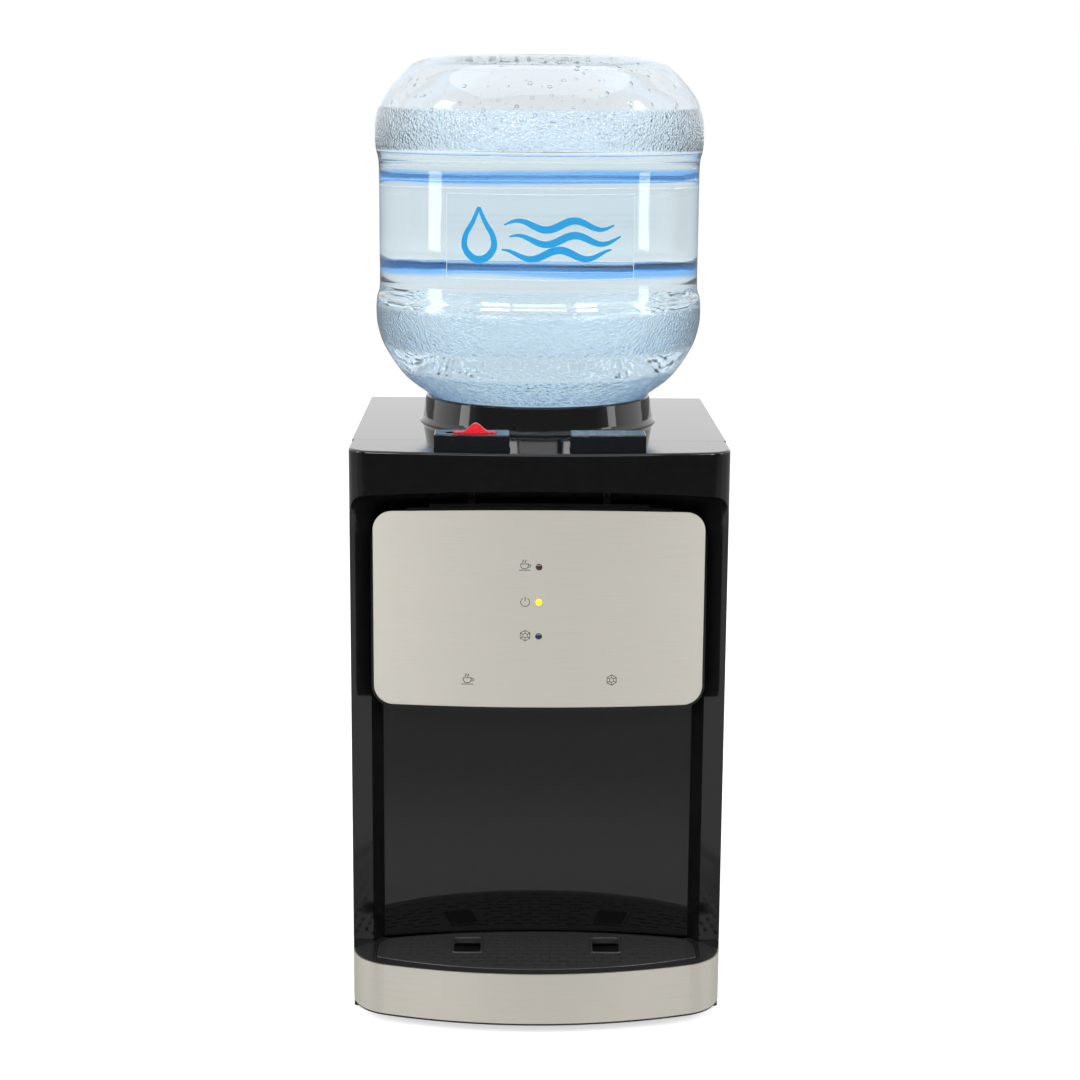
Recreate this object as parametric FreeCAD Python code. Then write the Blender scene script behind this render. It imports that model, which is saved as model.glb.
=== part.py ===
import FreeCAD, Part
import math
import os

os.makedirs("parts", exist_ok=True)

# ---------------------------------------------------------------- sizes, mm
# Working axes: X across, Z up, Y to the rear, Y = 0 at the front vertical edges
# of the case sides.  save() moves each piece so the bounding box is centred.
HALF_WIDTH = 145.0
CASE_TOP = 455.0
CASE_REAR = 282.0
REAR_MOST = CASE_REAR + 10.0
SEAM_Y = 36.0
CASE_FOOT = 3.0

SHEET = 1.4
WALL = 3.0
SLIDE_GAP = 0.5
FOOT_X = HALF_WIDTH - 30.0
FOOT_Y = (25.0, CASE_REAR - 20.0)
SCREW_X = HALF_WIDTH - 21.0
REAR_LIP = 12.0
LOOSE_GAP = 0.4
CONTACT = 0.05

BASE_TOP = 53.0
BASE_SAG = 56.0
BASE_CORNER = 38.0
BASE_UNDER = 10.5
BAND_Z0 = 12.5
BAND_THICK = 1.2
PAN_WALL = 2.5
PAN_FLOOR = 2.5

FASCIA_SAG = 31.0
FASCIA_CORNER = 20.0
FASCIA_LIP = 2.0
RECESS_FRONT_Y = -40.0
RECESS_REAR_Y = 11.0
RECESS_REAR_HALF = HALF_WIDTH - 15.0
RECESS_FRONT_HALF = HALF_WIDTH + 43.0
RECESS_REAR_MID = 412.4
RECESS_REAR_SIDE = 410.2
RECESS_FRONT_MID = 429.6
RECESS_FRONT_SIDE = 427.0
RECESS_REAR_ROUND = 17.0
RECESS_FRONT_ROUND = 38.0

ALCOVE_MID_Y = 37.0
ALCOVE_HALF = HALF_WIDTH - 23.5
ALCOVE_SIDE_Y = 23.7
ALCOVE_RISE = ALCOVE_MID_Y - ALCOVE_SIDE_Y
ALCOVE_RADIUS = (ALCOVE_HALF ** 2 + ALCOVE_RISE ** 2) / (2 * ALCOVE_RISE)
WELL_REAR_Y = 21.0
LINER_THICK = 2.5
LINER_TOP = 418.0

GRILLE_FRONT_Y = -45.0
GRILLE_FRONT_RISE = 25.4
GRILLE_BACK_Y = 32.8
GRILLE_BACK_RISE = 16.8
GRILLE_HALF = HALF_WIDTH - 19.0
GRILLE_FRONT_R = (GRILLE_HALF ** 2 + GRILLE_FRONT_RISE ** 2) / (2 * GRILLE_FRONT_RISE)
GRILLE_BACK_R = (GRILLE_HALF ** 2 + GRILLE_BACK_RISE ** 2) / (2 * GRILLE_BACK_RISE)
GRILLE_THICK = 3.0
GRILLE_BACK_ROUND = 16.0
GRILLE_FRONT_ROUND = 6.0
TRAY_RIM = 2.0
TRAY_WALL = 2.0
CUP_HOLE_X = 55.0
CUP_HOLE_Y = 4.0
CUP_HOLE_W = 21.0
CUP_HOLE_D = 29.0
CUP_HOLE_ROUND = 1.0
GRILLE_EDGE = 0.8
SLOT_LEN = 8.7
SLOT_WIDE = 2.4
SLOT_PITCH_X = 13.8
SLOT_PITCH_Y = 7.25

PANEL_HALF = HALF_WIDTH - 17.6
PANEL_MID_Y = -7.0
PANEL_BOW_RISE = 6.0
PANEL_BOW_R = (PANEL_HALF ** 2 + PANEL_BOW_RISE ** 2) / (2 * PANEL_BOW_RISE)
PANEL_THICK = 1.0
PANEL_TOP_MID = 408.0
PANEL_TOP_SIDE = 405.5
PANEL_LOW_MID = 252.5
PANEL_LOW_SIDE = 254.0
PANEL_ROUND = 15.0
BEZEL_HALF = PANEL_HALF + 1.6
BEZEL_TOP_MID = 413.0
BEZEL_TOP_SIDE = 410.5
BEZEL_LOW_MID = 250.8
BEZEL_LOW_SIDE = 252.3
BEZEL_PROUD = 0.4
BEZEL_LIP = 2.6
BEZEL_STEP = 1.2
BEZEL_BACK_Y = -3.6
CARRIER_TOP_MID = 404.0
CARRIER_TOP_SIDE = 399.5
CARRIER_WALL = 2.5

LAMP_Z = {"hot": 363.7, "power": 336.2, "cold": 309.2}
LAMP_R = 2.5

BUTTON_X = 51.2
BUTTON_HALF = 28.3
BUTTON_BACK_Y = 2.0
BUTTON_TOP = 468.3
BUTTON_INSET = 4.0
BUTTON_WALL = 2.2
BUTTON_SKIRT_Z = 446.0

TAP_X = 52.0
TAP_BEHIND = 14.0
TAP_Y = PANEL_MID_Y + TAP_BEHIND + PANEL_BOW_R - math.sqrt(PANEL_BOW_R ** 2 - TAP_X ** 2)
TAP_BORE = 5.0
TAP_BODY_R = 10.5
SPOUT_R = 6.0
SPOUT_TIP = 249.0
TUBE_R = 5.0
TUBE_BORE = 3.2
FEED_Z = 276.0

SEAT_Y = 152.0
SEAT_FOOT_R = 97.0
SEAT_WAIST_R = 94.3
SEAT_TOP_R = 90.5
SEAT_TOP = 477.0
SEAT_HOLE_R = 84.0
NECK_GUIDE_R = 32.5
BOTTLE_TOP = 748.0
BOTTLE_WALL = 1.5
GRIP_HALF = 72.0
GRIP_DEPTH_Y = 98.0
GRIP_Z0 = 574.0
GRIP_Z1 = 652.0
GRIP_ROUND = 18.0
NECK_R = 27.5
NECK_END = 390.0
PROBE_R = 8.0

COLD_TANK_R = 75.0
COLD_TANK_Z0 = 292.0
COLD_TANK_Z1 = 410.0
FOAM_R = 92.0
SHELF_Z = 268.0

HOT_X = -58.0
HOT_Y = 150.0
HOT_TANK_R = 45.0
HOT_TANK_Z0 = 82.0
HOT_TANK_Z1 = 212.0

FAN_Z = 340.0
FAN_SIZE = 80.0
FAN_Y0 = CASE_REAR - 20.0
FAN_Y1 = CASE_REAR - 5.0
DRAIN_X = HOT_X
DRAIN_Z = 34.0
SWITCH_X = {"hot": -30.0, "cold": 30.0}
SWITCH_Z = 120.0
GLAND_X = HALF_WIDTH - 50.0
GLAND_Z = 40.0
BOARD_LENGTH = 88.0
BOARD_X0 = HALF_WIDTH - 27.0 - BOARD_LENGTH

Y_MID = (REAR_MOST - BASE_SAG) / 2


# ---------------------------------------------------------------- helpers
def V(x, y, z=0.0):
    return FreeCAD.Vector(x, y, z)


def save(name, *solids):
    """Write one node; several solids become one group."""
    shape = solids[0] if len(solids) == 1 else Part.makeCompound(list(solids))
    moved = shape.copy()
    moved.translate(V(0, -Y_MID, 0))
    moved.exportStep("parts/%s.step" % name)


def box(x0, x1, y0, y1, z0, z1):
    return Part.makeBox(x1 - x0, y1 - y0, z1 - z0, V(x0, y0, z0))


def rod_z(x, y, z0, z1, r):
    return Part.makeCylinder(r, z1 - z0, V(x, y, z0))


def rod_y(x, z, y0, y1, r):
    return Part.makeCylinder(r, y1 - y0, V(x, y0, z), V(0, 1, 0))


def rod_x(y, z, x0, x1, r):
    return Part.makeCylinder(r, x1 - x0, V(x0, y, z), V(1, 0, 0))


def prism(face, height):
    return face.extrude(V(0, 0, height))


def line(a, b):
    return Part.LineSegment(a, b).toShape()


def arc(a, b, c):
    return Part.Arc(a, b, c).toShape()


def face_of(edges):
    return Part.Face(Part.Wire(edges))


def turned(points, x, y):
    """Solid of revolution about a vertical axis from (radius, z) points."""
    wire = Part.makePolygon([V(r, 0, z) for r, z in points + points[:1]])
    body = Part.Face(wire).revolve(V(0, 0, 0), V(0, 0, 1), 360)
    body.translate(V(x, y, 0))
    return body


def rounded_box(x0, x1, y0, y1, z0, z1, r):
    """Box with rounded vertical edges."""
    body = box(x0, x1, y0, y1, z0, z1)
    upright = [e for e in body.Edges if abs(e.Vertexes[0].Z - e.Vertexes[-1].Z) > 1e-6]
    return body.makeFillet(r, upright)


def rounded_plate_y(x0, x1, z0, z1, y0, y1, r):
    """Plate standing in the XZ plane with rounded corners."""
    body = box(x0, x1, y0, y1, z0, z1)
    along = [e for e in body.Edges if abs(e.Vertexes[0].Y - e.Vertexes[-1].Y) > 1e-6]
    return body.makeFillet(r, along)


def mirrored(shape):
    return shape.mirror(V(0, 0, 0), V(1, 0, 0))


def bowed_face(inset, sag, corner, back_y, z):
    """Case plan: wide front arc, a tighter arc at each side, straight to the rear."""
    half = HALF_WIDTH - inset
    r = corner - inset
    s = sag - inset
    cx = half - r
    big = (cx * cx + s * s - r * r) / (2 * (s - r))
    cy = big - s
    reach = big - r
    tx = cx + r * cx / reach
    ty = -r * cy / reach
    half_turn = math.atan2(cy, cx) / 2
    mx = cx + r * math.cos(half_turn)
    my = -r * math.sin(half_turn)
    return face_of([
        line(V(half, back_y, z), V(half, 0, z)),
        arc(V(half, 0, z), V(mx, my, z), V(tx, ty, z)),
        arc(V(tx, ty, z), V(0, -s, z), V(-tx, ty, z)),
        arc(V(-tx, ty, z), V(-mx, my, z), V(-half, 0, z)),
        line(V(-half, 0, z), V(-half, back_y, z)),
        line(V(-half, back_y, z), V(half, back_y, z)),
    ])


def base_face(inset, back_y, z):
    return bowed_face(inset, BASE_SAG, BASE_CORNER, back_y, z)


def fascia_face(inset, back_y, z):
    return bowed_face(inset, FASCIA_SAG, FASCIA_CORNER, back_y, z)


def arch_wire(half, low_mid, low_side, top_mid, top_side, r, y):
    """Closed outline in the XZ plane: bowed top and bottom, rounded corners."""
    def at(edge_mid, edge_side, x):
        return edge_mid + (edge_side - edge_mid) * (x / half) ** 2
    xr = half - r
    top = at(top_mid, top_side, xr)
    low = at(low_mid, low_side, xr)
    q = r * (1 - math.sqrt(0.5))
    return Part.Wire([
        arc(V(-xr, y, low), V(0, y, low_mid), V(xr, y, low)),
        arc(V(xr, y, low), V(half - q, y, low + q), V(half, y, low + r)),
        line(V(half, y, low + r), V(half, y, top - r)),
        arc(V(half, y, top - r), V(half - q, y, top - q), V(xr, y, top)),
        arc(V(xr, y, top), V(0, y, top_mid), V(-xr, y, top)),
        arc(V(-xr, y, top), V(q - half, y, top - q), V(-half, y, top - r)),
        line(V(-half, y, top - r), V(-half, y, low + r)),
        arc(V(-half, y, low + r), V(q - half, y, low + q), V(-xr, y, low)),
    ])


def arch_block(half, low_mid, low_side, top_mid, top_side, r, y0, y1):
    wire = arch_wire(half, low_mid, low_side, top_mid, top_side, r, y0)
    return Part.Face(wire).extrude(V(0, y1 - y0, 0))


def recess_tool(grow):
    """Tapered tunnel: wide at the front, narrow at the rear, arched at the top."""
    floor = 10.0
    wires = []
    for half, mid, side, r, y in (
        (RECESS_FRONT_HALF, RECESS_FRONT_MID, RECESS_FRONT_SIDE, RECESS_FRONT_ROUND, RECESS_FRONT_Y),
        (RECESS_REAR_HALF, RECESS_REAR_MID, RECESS_REAR_SIDE, RECESS_REAR_ROUND, RECESS_REAR_Y),
    ):
        wires.append(arch_wire(half + grow, floor - 1, floor, mid + grow, side + grow, r, y))
    return Part.makeLoft(wires, True, True)


def bow_cylinder(front_y, z0, z1):
    """Everything behind the bowed panel surface that passes through front_y."""
    r = PANEL_BOW_R + PANEL_MID_Y - front_y
    return Part.makeCylinder(r, z1 - z0, V(0, PANEL_MID_Y + PANEL_BOW_R, z0))


def alcove_cylinder(grow, z0, z1):
    """Everything in front of the concave alcove wall."""
    return Part.makeCylinder(ALCOVE_RADIUS + grow, z1 - z0, V(0, ALCOVE_MID_Y - ALCOVE_RADIUS, z0))


def pipe(points, r_out, r_in, bend):
    """Tube along straight runs joined by round bends."""
    edges = []
    start = points[0]
    for i in range(1, len(points) - 1):
        into = (points[i] - points[i - 1]).normalize()
        away = (points[i + 1] - points[i]).normalize()
        turn = into.getAngle(away)
        cut = bend * math.tan(turn / 2)
        a = points[i] - into * cut
        b = points[i] + away * cut
        side = (away - into).normalize()
        centre = points[i] + side * (bend / math.cos(turn / 2))
        mid = centre - side * bend
        edges.append(line(start, a))
        edges.append(arc(a, mid, b))
        start = b
    edges.append(line(start, points[-1]))
    path = Part.Wire(edges)
    axis = (points[1] - points[0]).normalize()
    solids = []
    for r in (r_out, r_in):
        ring = Part.Wire(Part.Circle(points[0], axis, r).toShape())
        solids.append(path.makePipeShell([ring], True, False))
    return solids[0].cut(solids[1])


# ---------------------------------------------------------------- base
def base_pieces():
    front = prism(base_face(BAND_THICK, SEAM_Y, BASE_UNDER), BASE_TOP - BASE_UNDER)
    side = HALF_WIDTH - SHEET
    rear = box(-side, side, BAND_THICK, CASE_REAR - WALL, CASE_FOOT, 24.0)
    pan = front.fuse(rear)
    inner = prism(base_face(BAND_THICK + PAN_WALL, WELL_REAR_Y, CASE_FOOT + 10.5), BASE_TOP - PAN_FLOOR - 13.5)
    for x0, x1 in ((-side - 5, -side), (side, side + 5)):
        pan = pan.cut(box(x0, x1, 2.0, SEAM_Y + 1, 0.0, 60.0))
    pan = pan.cut(inner)
    pan = pan.cut(box(PAN_WALL - side, side - PAN_WALL, WELL_REAR_Y - 1, CASE_REAR - WALL - PAN_WALL, 6.0, 90.0))
    well = lens_block(TRAY_RIM + 0.4, 40.0, 60.0)
    pan = pan.cut(well)
    for x in (-FOOT_X, FOOT_X):
        for y in FOOT_Y:
            pan = pan.cut(rod_z(x, y, 2.0, 4.2, 2.1))
    save("base_pan", pan)

    ring = prism(base_face(0.0, 2.0, BAND_Z0), BASE_TOP - BAND_Z0 - 0.2)
    ring = ring.cut(prism(base_face(BAND_THICK, 3.0, BAND_Z0 - 1), 60.0))
    save("base_band", ring)

    feet = []
    for x in (-FOOT_X, FOOT_X):
        for y in FOOT_Y:
            foot = Part.makeCone(8.0, 9.5, CASE_FOOT, V(x, y, 0))
            feet.append(foot.fuse(rod_z(x, y, 0.5, 4.2, 2.0)))
    save("rubber_feet", *feet)


def lens_block(grow, z0, z1):
    """Grille plan: front arc, flatter rear arc, short straight ends."""
    front = Part.makeCylinder(GRILLE_FRONT_R + grow, z1 - z0, V(0, GRILLE_FRONT_Y + GRILLE_FRONT_R, z0))
    back_radius = GRILLE_BACK_R + grow
    back = Part.makeCylinder(back_radius, z1 - z0, V(0, GRILLE_BACK_Y - GRILLE_BACK_R, z0))
    half = GRILLE_HALF + grow
    body = box(-half, half, -80.0, 60.0, z0, z1).common(front).common(back)
    upright = [e for e in body.Edges if abs(e.Vertexes[0].Z - e.Vertexes[-1].Z) > 1e-6]
    rear = [e for e in upright if e.Vertexes[0].Y > 0]
    body = body.makeFillet(GRILLE_BACK_ROUND, rear)
    upright = [e for e in body.Edges if abs(e.Vertexes[0].Z - e.Vertexes[-1].Z) > 1e-6]
    near = [e for e in upright if e.Vertexes[0].Y < -15]
    return body.makeFillet(GRILLE_FRONT_ROUND, near)


def tray_pieces():
    tray = lens_block(TRAY_RIM, 13.5, BASE_TOP - 0.3)
    tray = tray.cut(lens_block(TRAY_RIM - TRAY_WALL - 1.6, 15.5, 49.0))
    tray = tray.cut(lens_block(0.4, 48.9, 60.0))
    save("drip_tray", tray)

    z0 = BASE_TOP - 0.6 - GRILLE_THICK
    z1 = BASE_TOP
    grille = lens_block(0.0, z0 - 0.5, z1)
    grille = grille.makeFillet(GRILLE_EDGE, [e for e in grille.Edges if min(v.Z for v in e.Vertexes) > z1 - 0.1])
    edge = lens_block(-6.0, z0, z1)
    slots = []
    rims = []
    row = 0
    y = -36.0
    while y < 30.0:
        shift = SLOT_PITCH_X / 2 if row % 2 else 0.0
        x = -8 * SLOT_PITCH_X + shift
        while x < 9 * SLOT_PITCH_X:
            clear = True
            for hx in (-CUP_HOLE_X, CUP_HOLE_X):
                near_x = abs(x - hx) < CUP_HOLE_W / 2 + SLOT_LEN / 2 + 2.5
                near_y = abs(y - CUP_HOLE_Y) < CUP_HOLE_D / 2 + SLOT_WIDE / 2 + 2.0
                if near_x and near_y:
                    clear = False
            corners = [V(x + a * SLOT_LEN / 2, y + b * SLOT_WIDE / 2, z0 + 1) for a in (-1, 1) for b in (-1, 1)]
            if clear and all(edge.isInside(c, 0.01, False) for c in corners):
                slots.append(box(x - SLOT_LEN / 2, x + SLOT_LEN / 2, y - SLOT_WIDE / 2, y + SLOT_WIDE / 2, 40, 60))
            x += SLOT_PITCH_X
        y += SLOT_PITCH_Y
        row += 1
    for hx in (-CUP_HOLE_X, CUP_HOLE_X):
        x0 = hx - CUP_HOLE_W / 2
        y0 = CUP_HOLE_Y - CUP_HOLE_D / 2
        mouth = rounded_box(x0, x0 + CUP_HOLE_W, y0, y0 + CUP_HOLE_D, 40, 60, 2.6)
        rim = rounded_box(x0 - 2.2, x0 + CUP_HOLE_W + 2.2, y0 - 2.2, y0 + CUP_HOLE_D + 2.2, z0, z1 + 1.0, 4.4)
        rim = rim.cut(mouth)
        rim = rim.makeFillet(CUP_HOLE_ROUND, [e for e in rim.Edges if min(v.Z for v in e.Vertexes) > z1 + 0.9])
        rims.append(rim)
        slots.append(mouth)
    grille = grille.cut(Part.makeCompound(slots)).fuse(rims)
    save("drip_grille", grille)


# ---------------------------------------------------------------- case
def frame_pieces():
    tall = CASE_TOP - BASE_TOP
    outer = prism(fascia_face(0.0, SEAM_Y, BASE_TOP), tall)
    lip = [e for e in outer.Edges
           if min(v.Z for v in e.Vertexes) > CASE_TOP - 0.1 and min(v.Y for v in e.Vertexes) < -0.5]
    outer = outer.makeFillet(FASCIA_LIP, lip)
    inner = prism(fascia_face(WALL, SEAM_Y + 1, BASE_TOP - 5), tall + 5 - WALL)
    tool = recess_tool(0.0)
    web = outer.common(recess_tool(WALL))
    frame = outer.cut(inner).fuse(web).cut(tool)
    opening = prism(fascia_face(BUTTON_INSET - SLIDE_GAP, SEAM_Y, 440.0), 60.0)
    for x in (-BUTTON_X, BUTTON_X):
        half = BUTTON_HALF + SLIDE_GAP
        frame = frame.cut(opening.common(box(x - half, x + half, -60, BUTTON_BACK_Y + SLIDE_GAP, 445, 470)))
    for x in (-TAP_X, TAP_X):
        frame = frame.cut(rod_z(x, TAP_Y, 400.0, 432.0, 3.4))
    save("front_frame", frame)

    half = HALF_WIDTH - WALL - 0.1
    arc_wall = alcove_cylinder(LINER_THICK, BASE_TOP, LINER_TOP)
    arc_wall = arc_wall.cut(alcove_cylinder(0.0, BASE_TOP - 1, 500.0))
    liner = arc_wall.common(box(-ALCOVE_HALF, ALCOVE_HALF, 0.0, 60.0, BASE_TOP, LINER_TOP))
    lead = RECESS_REAR_HALF
    plan = [V(ALCOVE_HALF, ALCOVE_SIDE_Y), V(lead, RECESS_REAR_Y), V(half, RECESS_REAR_Y),
            V(half, RECESS_REAR_Y + LINER_THICK), V(lead + 1.4, RECESS_REAR_Y + LINER_THICK),
            V(ALCOVE_HALF, ALCOVE_SIDE_Y + LINER_THICK + 0.2)]
    wing = Part.Face(Part.makePolygon(plan + plan[:1])).extrude(V(0, 0, LINER_TOP - BASE_TOP))
    wing.translate(V(0, 0, BASE_TOP))
    liner = liner.fuse(wing).fuse(mirrored(wing))
    for x in (-TAP_X, TAP_X):
        liner = liner.cut(rod_y(x, FEED_Z, 0.0, 60.0, TUBE_R + 1.0))
    liner = liner.cut(rounded_plate_y(-16.0, 16.0, 290.0, 304.0, 0.0, 60.0, 3.0))
    save("alcove_liner", liner)

    cover = box(-HALF_WIDTH, HALF_WIDTH, SEAM_Y + 0.35, CASE_REAR, CASE_TOP - 15, CASE_TOP)
    upright = [e for e in cover.Edges if abs(e.Vertexes[0].Z - e.Vertexes[-1].Z) > 1 and e.Vertexes[0].Y > 200]
    cover = cover.makeFillet(2.5, upright)
    cut = box(-HALF_WIDTH + WALL, HALF_WIDTH - WALL, SEAM_Y - 1, CASE_REAR - WALL, CASE_TOP - 20, CASE_TOP - WALL)
    cover = cover.cut(cut).cut(rod_z(0, SEAT_Y, 400, 460, SEAT_HOLE_R + 6.0))
    save("top_cover", cover)

    z0 = CASE_FOOT
    z1 = CASE_TOP - 15
    for name, sign in (("left_side_panel", -1), ("right_side_panel", 1)):
        outer_x = sign * HALF_WIDTH
        inner_x = sign * (HALF_WIDTH - SHEET)
        lip_x = sign * (HALF_WIDTH - REAR_LIP)
        panel = box(min(outer_x, inner_x), max(outer_x, inner_x), SEAM_Y, CASE_REAR, z0, z1)
        left_x, right_x = sorted((lip_x, outer_x))
        panel = panel.fuse(box(left_x, right_x, CASE_REAR - SHEET, CASE_REAR, z0, z1))
        low = box(min(outer_x, inner_x), max(outer_x, inner_x), 2.0, SEAM_Y, z0, BASE_TOP)
        save(name, panel.fuse(low))

    half = HALF_WIDTH - SHEET - 0.2
    rear_y = CASE_REAR - SHEET
    back = box(-half, half, rear_y - SHEET, rear_y, 24.2, CASE_TOP - 15.2)
    between = HALF_WIDTH - REAR_LIP - SLIDE_GAP
    back = back.fuse(box(-between, between, rear_y - SHEET, CASE_REAR, 24.2, CASE_TOP - 15.2))
    cuts = []
    for i in range(9):
        z = FAN_Z - 32 + i * 8.0
        reach = math.sqrt(max(37.0 ** 2 - (z - FAN_Z) ** 2, 0))
        cuts.append(rounded_plate_y(-reach, reach, z - 2, z + 2, rear_y - 10, rear_y + 10, 1.9))
    for i in range(10):
        for x in (-85.0, 85.0):
            z = 190.0 + i * 9.0
            cuts.append(rounded_plate_y(x - 22, x + 22, z - 2, z + 2, rear_y - 10, rear_y + 10, 1.9))
    for x in SWITCH_X.values():
        cuts.append(box(x - 7.5, x + 7.5, rear_y - 10, rear_y + 10, SWITCH_Z - 11, SWITCH_Z + 11))
    cuts.append(rod_y(GLAND_X, GLAND_Z, rear_y - 10, rear_y + 10, 7.0))
    cuts.append(rod_y(DRAIN_X, DRAIN_Z, rear_y - 10, rear_y + 10, 7.0))
    back = back.cut(Part.makeCompound(cuts))
    save("back_panel", back)
    screws = []
    for x in (-SCREW_X, SCREW_X):
        for z in (36.0, 150.0, 290.0, 425.0):
            head = rod_y(x, z, CASE_REAR, CASE_REAR + 1.8, 3.4)
            head = head.cut(rod_y(x, z, CASE_REAR + 0.9, CASE_REAR + 3, 1.6))
            screws.append(head)
    save("case_screws", *screws)

    shelf = box(-half + 1, half - 1, SEAM_Y + 8, rear_y - SHEET - 0.2, SHELF_Z, SHELF_Z + 1.5)
    skirt = box(-half + 1, half - 1, SEAM_Y + 8, SEAM_Y + 9.5, SHELF_Z - 12, SHELF_Z + 1.5)
    shelf = shelf.fuse(skirt)
    for sign in (-1, 1):
        x0 = sign * (half - 0.2)
        x1 = sign * (half - 1.8)
        shelf = shelf.fuse(box(min(x0, x1), max(x0, x1), SEAM_Y + 8, rear_y - 2, SHELF_Z - 12, SHELF_Z + 1.5))
    shelf = shelf.cut(rod_z(TAP_X, 110.0, 200, 300, 12.0)).cut(rod_z(HOT_X, HOT_Y, 200, 300, 9.0))
    shelf = shelf.cut(rod_z(0.0, 190.0, 200, 300, 9.0))
    for x in (-TAP_X, TAP_X):
        shelf = shelf.cut(rounded_box(x - 8, x + 8, 40.0, 70.0, 250, 280, 3.0))
    save("tank_shelf", shelf)


# ---------------------------------------------------------------- front panel
def panel_pieces():
    z0 = 240.0
    z1 = 430.0
    bezel = arch_block(BEZEL_HALF, BEZEL_LOW_MID, BEZEL_LOW_SIDE, BEZEL_TOP_MID, BEZEL_TOP_SIDE,
                       PANEL_ROUND + 1.6, -12.0, BEZEL_BACK_Y)
    shell = arch_block(BEZEL_HALF, BEZEL_LOW_MID, BEZEL_LOW_SIDE, CARRIER_TOP_MID, CARRIER_TOP_SIDE,
                       PANEL_ROUND + 1.6, -12.0, 45.0)
    w = CARRIER_WALL
    hollow = arch_block(BEZEL_HALF - w, BEZEL_LOW_MID + w, BEZEL_LOW_SIDE + w, CARRIER_TOP_MID - w,
                        CARRIER_TOP_SIDE - w, PANEL_ROUND - 0.9, -12.0, 60.0)
    carrier = bezel.fuse(shell).common(bow_cylinder(PANEL_MID_Y - BEZEL_PROUD, z0, z1))
    carrier = carrier.common(alcove_cylinder(-CONTACT, z0, z1))
    near = BEZEL_HALF + 0.7
    far = ALCOVE_HALF - 0.4
    room = [V(-near, -100), V(near, -100), V(near, RECESS_REAR_Y - 0.6), V(far, ALCOVE_SIDE_Y - 0.6), V(far, 60),
            V(-far, 60), V(-far, ALCOVE_SIDE_Y - 0.6), V(-near, RECESS_REAR_Y - 0.6)]
    region = Part.Face(Part.makePolygon(room + room[:1])).extrude(V(0, 0, z1))
    carrier = carrier.common(region)
    carrier = carrier.cut(hollow.common(bow_cylinder(PANEL_MID_Y + PANEL_THICK + w, z0, z1)))
    step = bow_cylinder(PANEL_MID_Y - 3, z0, z1)
    step = step.cut(bow_cylinder(PANEL_MID_Y - BEZEL_PROUD + BEZEL_STEP, z0, z1))
    lip = arch_block(BEZEL_HALF, BEZEL_LOW_MID, BEZEL_LOW_SIDE, BEZEL_TOP_MID - BEZEL_LIP,
                     BEZEL_TOP_SIDE - BEZEL_LIP, PANEL_ROUND + 1.6, -14.0, 10.0)
    carrier = carrier.cut(step.cut(lip))
    plate = arch_block(PANEL_HALF, PANEL_LOW_MID, PANEL_LOW_SIDE, PANEL_TOP_MID, PANEL_TOP_SIDE,
                       PANEL_ROUND, -14.0, 10.0)
    bed = PANEL_MID_Y + PANEL_THICK + CONTACT
    layer = bow_cylinder(PANEL_MID_Y - 3, z0, z1).cut(bow_cylinder(bed, z0, z1))
    carrier = carrier.cut(plate.common(layer))
    pocket = arch_block(PANEL_HALF - 0.1, PANEL_LOW_MID + 0.1, PANEL_LOW_SIDE + 0.1, PANEL_TOP_MID - 0.1,
                        PANEL_TOP_SIDE - 0.1, PANEL_ROUND, -14.0, 10.0)
    sheet = bow_cylinder(PANEL_MID_Y, z0, z1).cut(bow_cylinder(PANEL_MID_Y + PANEL_THICK, z0, z1))
    steel = pocket.common(sheet)
    for name, z in LAMP_Z.items():
        carrier = carrier.cut(rod_y(0, z, -10, 3, LAMP_R + 0.1))
        steel = steel.cut(rod_y(0, z, -10, 3, LAMP_R + 0.1))
        lens = rod_y(0, z, -6.4, 1.6, LAMP_R)
        dome = Part.makeSphere(3.8, V(0, -3.7, z)).common(rod_y(0, z, -10, -6.4, LAMP_R))
        save("%s_lens" % name, lens.fuse(dome))
    for x in (-TAP_X, TAP_X):
        boss = rod_z(x, TAP_Y, CARRIER_TOP_MID - 3.5, 405.5, 5.0)
        carrier = carrier.fuse(boss).cut(rod_z(x, TAP_Y, 380.0, 420.0, 3.1))
        carrier = carrier.cut(rod_z(x, TAP_Y, 240.0, 260.0, SPOUT_R + 0.3))
    save("panel_carrier", carrier)
    save("faceplate", steel)

    board = box(-12, 12, 1.8, 3.4, 300, 372)
    for z in LAMP_Z.values():
        board = board.fuse(box(-1.5, 1.5, 1.6, 2.0, z - 1.5, z + 1.5))
    for z in (320.0, 348.0):
        board = board.fuse(box(-5, 5, 3.4, 6.0, z - 4, z + 4))
    for x in (-10.0, 10.0):
        board = board.fuse(rod_y(x, 302.0, -2.0, 2.0, 1.5)).fuse(rod_y(x, 370.0, -2.0, 2.0, 1.5))
    board = board.cut(bow_cylinder(-60, z0, z1).cut(bow_cylinder(PANEL_MID_Y + PANEL_THICK + w, z0, z1)))
    save("indicator_board", board)


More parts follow.
